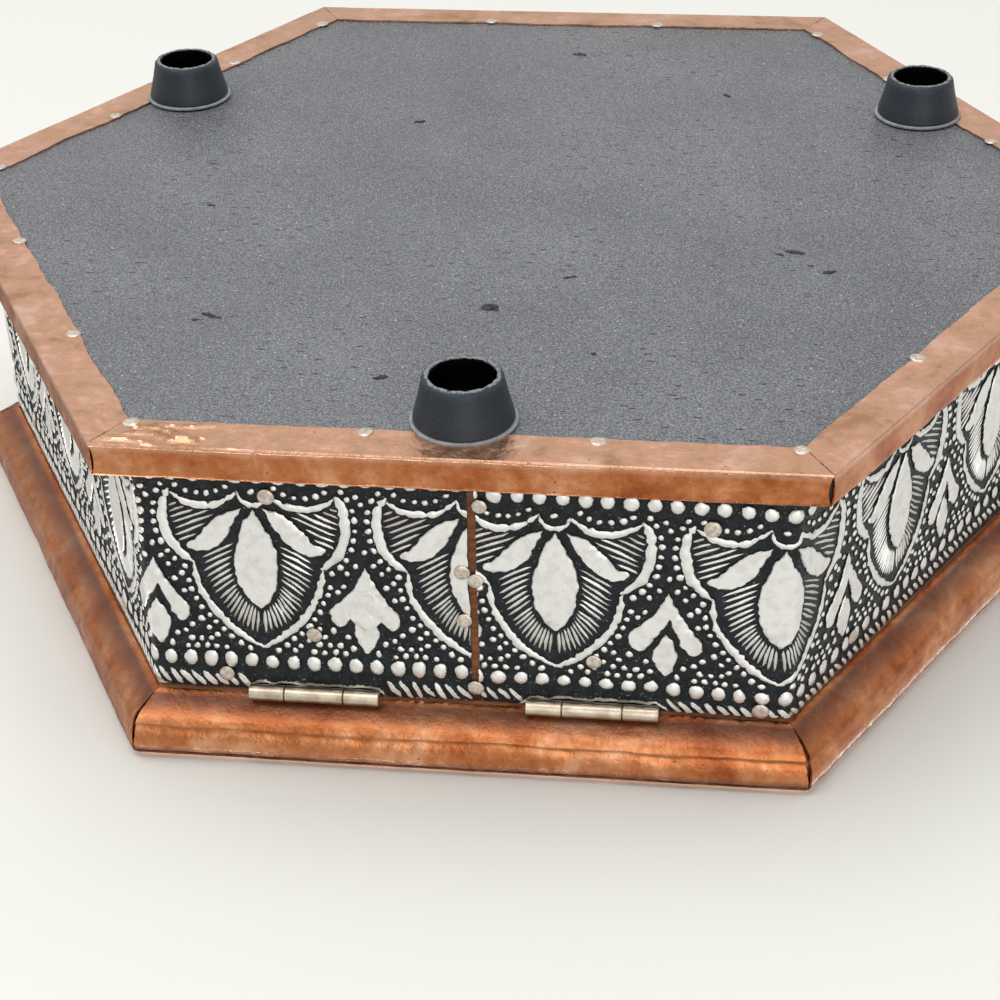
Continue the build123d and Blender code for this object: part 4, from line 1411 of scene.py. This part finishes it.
print("feet set")

# Small butt hinges: rolled barrels on thin leaves
hinge = {"reach": 112.3, "level": 70.6, "radius": 1.65, "length": 26.4, "middle": 11.8, "gap": 0.15,
         "bore": 0.72, "leaf": 0.4, "inner": 104.0, "outer": 110.4, "bodyLeaf": 71.1, "lidLeaf": 71.85}


def barrel(start, end):
    bore, rim = hinge["bore"], hinge["radius"]
    roll = turnedPiece([(bore, start), (rim - 0.16, start), (rim, start + 0.14), (rim, start + 0.5),
                        (rim - 0.03, (start + end) / 2), (rim, end - 0.5), (rim, end - 0.14),
                        (rim - 0.16, end), (bore, end), (bore, start)], 40)
    roll.data.transform(moved(0, hinge["reach"], hinge["level"]) @ Matrix.Rotation(radians(90), 4, "Y"))
    return roll


def leafPlate(start, end, inner, outer, low):
    bpy.ops.mesh.primitive_cube_add(size=1)
    plate = bpy.context.object
    startEdit(plate)
    stretch((end - start) * mm, (outer - inner) * mm, hinge["leaf"] * mm)
    bpy.ops.mesh.bevel(offset=0.1 * mm, segments=2)
    slide((start + end) / 2, (inner + outer) / 2, low + hinge["leaf"] / 2)
    endEdit()
    return plate


def hingeLeaf(name, x, leaf, body, low, spans):
    h = hinge
    parts = [leafPlate(x - h["length"] / 2, x + h["length"] / 2, h["inner"], h["outer"], low)]
    for start, end in spans:
        parts += [barrel(x + start, x + end),
                  leafPlate(x + start, x + end, h["outer"] - 1, h["reach"] - 1, low)]
    finishPiece(join(parts, "hinge"), "hinge" + titled(name + "_" + leaf) + "Leaf", body, "nickel", nickel,
                f"hinge_{name}_{leaf}_leaf")


tip, inside = hinge["length"] / 2, hinge["middle"] / 2
for name, x in zip(("left", "right"), hingePlaces):
    hingeLeaf(name, x, "body", "case", hinge["bodyLeaf"],
              ((-tip, -inside - hinge["gap"]), (inside + hinge["gap"], tip)))
    hingeLeaf(name, x, "lid", "lid", hinge["lidLeaf"], ((-inside, inside),))
print("hinges set")

# Felt lining, cut from one flat piece for the floor, one for the lid and a long strip for the walls
feltPlan = {"reach": 103.3, "thick": 0.8, "floor": 17.0, "lid": 76.4, "wallLow": 18.0, "wallHigh": 70.8,
            "wallReach": 103.5, "sag": 0.25, "wallRows": 12}
matting = cloudTexture("felt matting", 9, 3)


def hexFelt(name, level, node, body):
    cloth = hexagon(feltPlan["reach"], "TRIFAN")
    startEdit(cloth)
    bpy.ops.mesh.subdivide(number_cuts=24)
    slide(0, 0, level + feltPlan["thick"])
    endEdit()
    ripple(cloth, matting, feltPlan["sag"], "Z", middle=1.0)
    thicken(cloth, feltPlan["thick"] - feltPlan["sag"])
    finishPiece(cloth, name, body, "lining", felt, node)


def wallFelt():
    reach, height = feltPlan["wallReach"], feltPlan["wallHigh"] - feltPlan["wallLow"]
    cloth = hexagon(reach, "NOTHING")
    startEdit(cloth)
    bpy.ops.mesh.subdivide(number_cuts=23)
    slide(0, 0, feltPlan["wallLow"])
    for k in range(feltPlan["wallRows"]):
        drawOut(0, 0, height / feltPlan["wallRows"])
    evenNormals(inside=True)
    endEdit()
    share = (reach - feltPlan["thick"]) / reach
    cloth.data.transform(sized(share, share))
    thicken(cloth, feltPlan["thick"])
    finishPiece(cloth, "wallFelts", "case", "lining", felt, "wall_felts", angle=30)


hexFelt("floorFelt", feltPlan["floor"], "floor_felt", "case")
hexFelt("lidFelt", feltPlan["lid"], "lid_felt", "lid")
wallFelt()
print("felt laid")


# Lid top, which the photograph doesn't show: the same sheet with a rosette of six medallions
lidTop = {"level": 83.35, "reach": 108.9, "size": 1.34, "middle": 10.0, "beadPitch": 3.0, "cell": 1.9,
          "chevron": (126, 1.25), "ropes": (106.0, 2.4), "pearls": (101.6, 4.4), "beadsTo": 98.4,
          "rosette": 29.5, "rosettePearls": 26.3, "rosetteLeaves": 26, "rosetteBeads": 5.4,
          "dents": [("sway", 0.8, "X"), ("sag", 0.8, "Y"), ("fray", 0.4, "X"), ("rough", 0.1, "Z")]}


def reachOf(spots):
    x, y = spots[:, 0] * cos(radians(30)), spots[:, 1]
    return np.maximum.reduce([abs(y), abs(x + y / 2), abs(x - y / 2)])


def around(radius, angle):
    return moved(radius * cos(radians(angle)), radius * sin(radians(angle)))


def lidSector():
    scale, middle, pace = lidTop["size"], lidTop["middle"], lidTop["beadPitch"]
    away, size = lidTop["chevron"]
    chevronPlace = turnZ(30) @ moved(0, away) @ sized(size, -size)
    corner = copyTo(chevron, chevronPlace)
    startEdit(corner)
    evenNormals()
    endEdit()
    parts = [copyTo(medal, moved(0, middle) @ sized(scale, scale)), corner]
    lines = [medallionEdge * scale + (0, middle)]
    for name in ("chevron", "drop"):
        for turn in (0, -60):
            lines.append(np.array([(turnZ(turn) @ chevronPlace @ Vector((x * mm, y * mm, 0)))[:2]
                                   for x, y in outlineOf(name)]) / mm)
    for (reach, step), stamp, turn in ((lidTop["ropes"], twist, -52), (lidTop["pearls"], pearl, 0)):
        count = int(2 * slant * (reach - 0.6) / step)
        for i in range(count):
            parts.append(copyTo(stamp, moved((i - (count - 1) / 2) * step, reach) @ turnZ(turn)))
    spots = np.array([((i + (j % 2) / 2) * pace, j * pace * 0.87)
                      for j in range(8, 40) for i in range(-24, 25)])
    good = (reachOf(spots) < lidTop["beadsTo"]) & (abs(spots[:, 0]) <= spots[:, 1] * slant + 0.01)
    good &= (np.hypot(*spots.T) > lidTop["rosette"]) & clearOf(lines, spots, 2.0)
    for x, y in spots[good]:
        parts.append(copyTo(bead, moved(x, y) @ sized(1.15, 1.15) @ turnZ(chance.uniform(0, 45))))
    for k in range(6):
        parts.append(copyTo(pearl, around(lidTop["rosettePearls"], 65 + 10 * k)))
    for turn, height in ((0, 1.06), (30, 1)):
        place = turnZ(turn) @ moved(0, -lidTop["rosetteLeaves"])
        parts.append(copyTo(leafShape, place @ sized(1, 1, height)))
    return join(parts, "lid sector")


def lidSheet():
    ground = hexagon(lidTop["reach"], "TRIFAN")
    startEdit(ground)
    bpy.ops.mesh.subdivide(number_cuts=round(lidTop["reach"] * 1.1 / lidTop["cell"]))
    endEdit()
    setValues(ground, "rise", np.zeros(len(ground.data.vertices)))
    sector = lidSector()
    parts = [ground] + [copyTo(sector, turnZ(60 * k)) for k in range(6)]
    drop(sector)
    parts.append(copyTo(pearl, sized(1.6, 1.4)))
    for k in range(12):
        parts.append(copyTo(bead, around(lidTop["rosetteBeads"], 30 * k)))
    whole = join(parts, "lidSheet")
    dentSheet(whole, lidTop["dents"])
    whole.data.transform(moved(0, 0, lidTop["level"]))
    return finishPiece(whole, "lidSheet", "lid", "white_metal", metal, "lid_sheet")


leafShape = raisedShape("rosette")
print("lid sheet:", triangles(lidSheet()), "triangles")


drop(bead, pearl, scratch, twist, medal, chevron, web, tile, leafShape, bandSection)
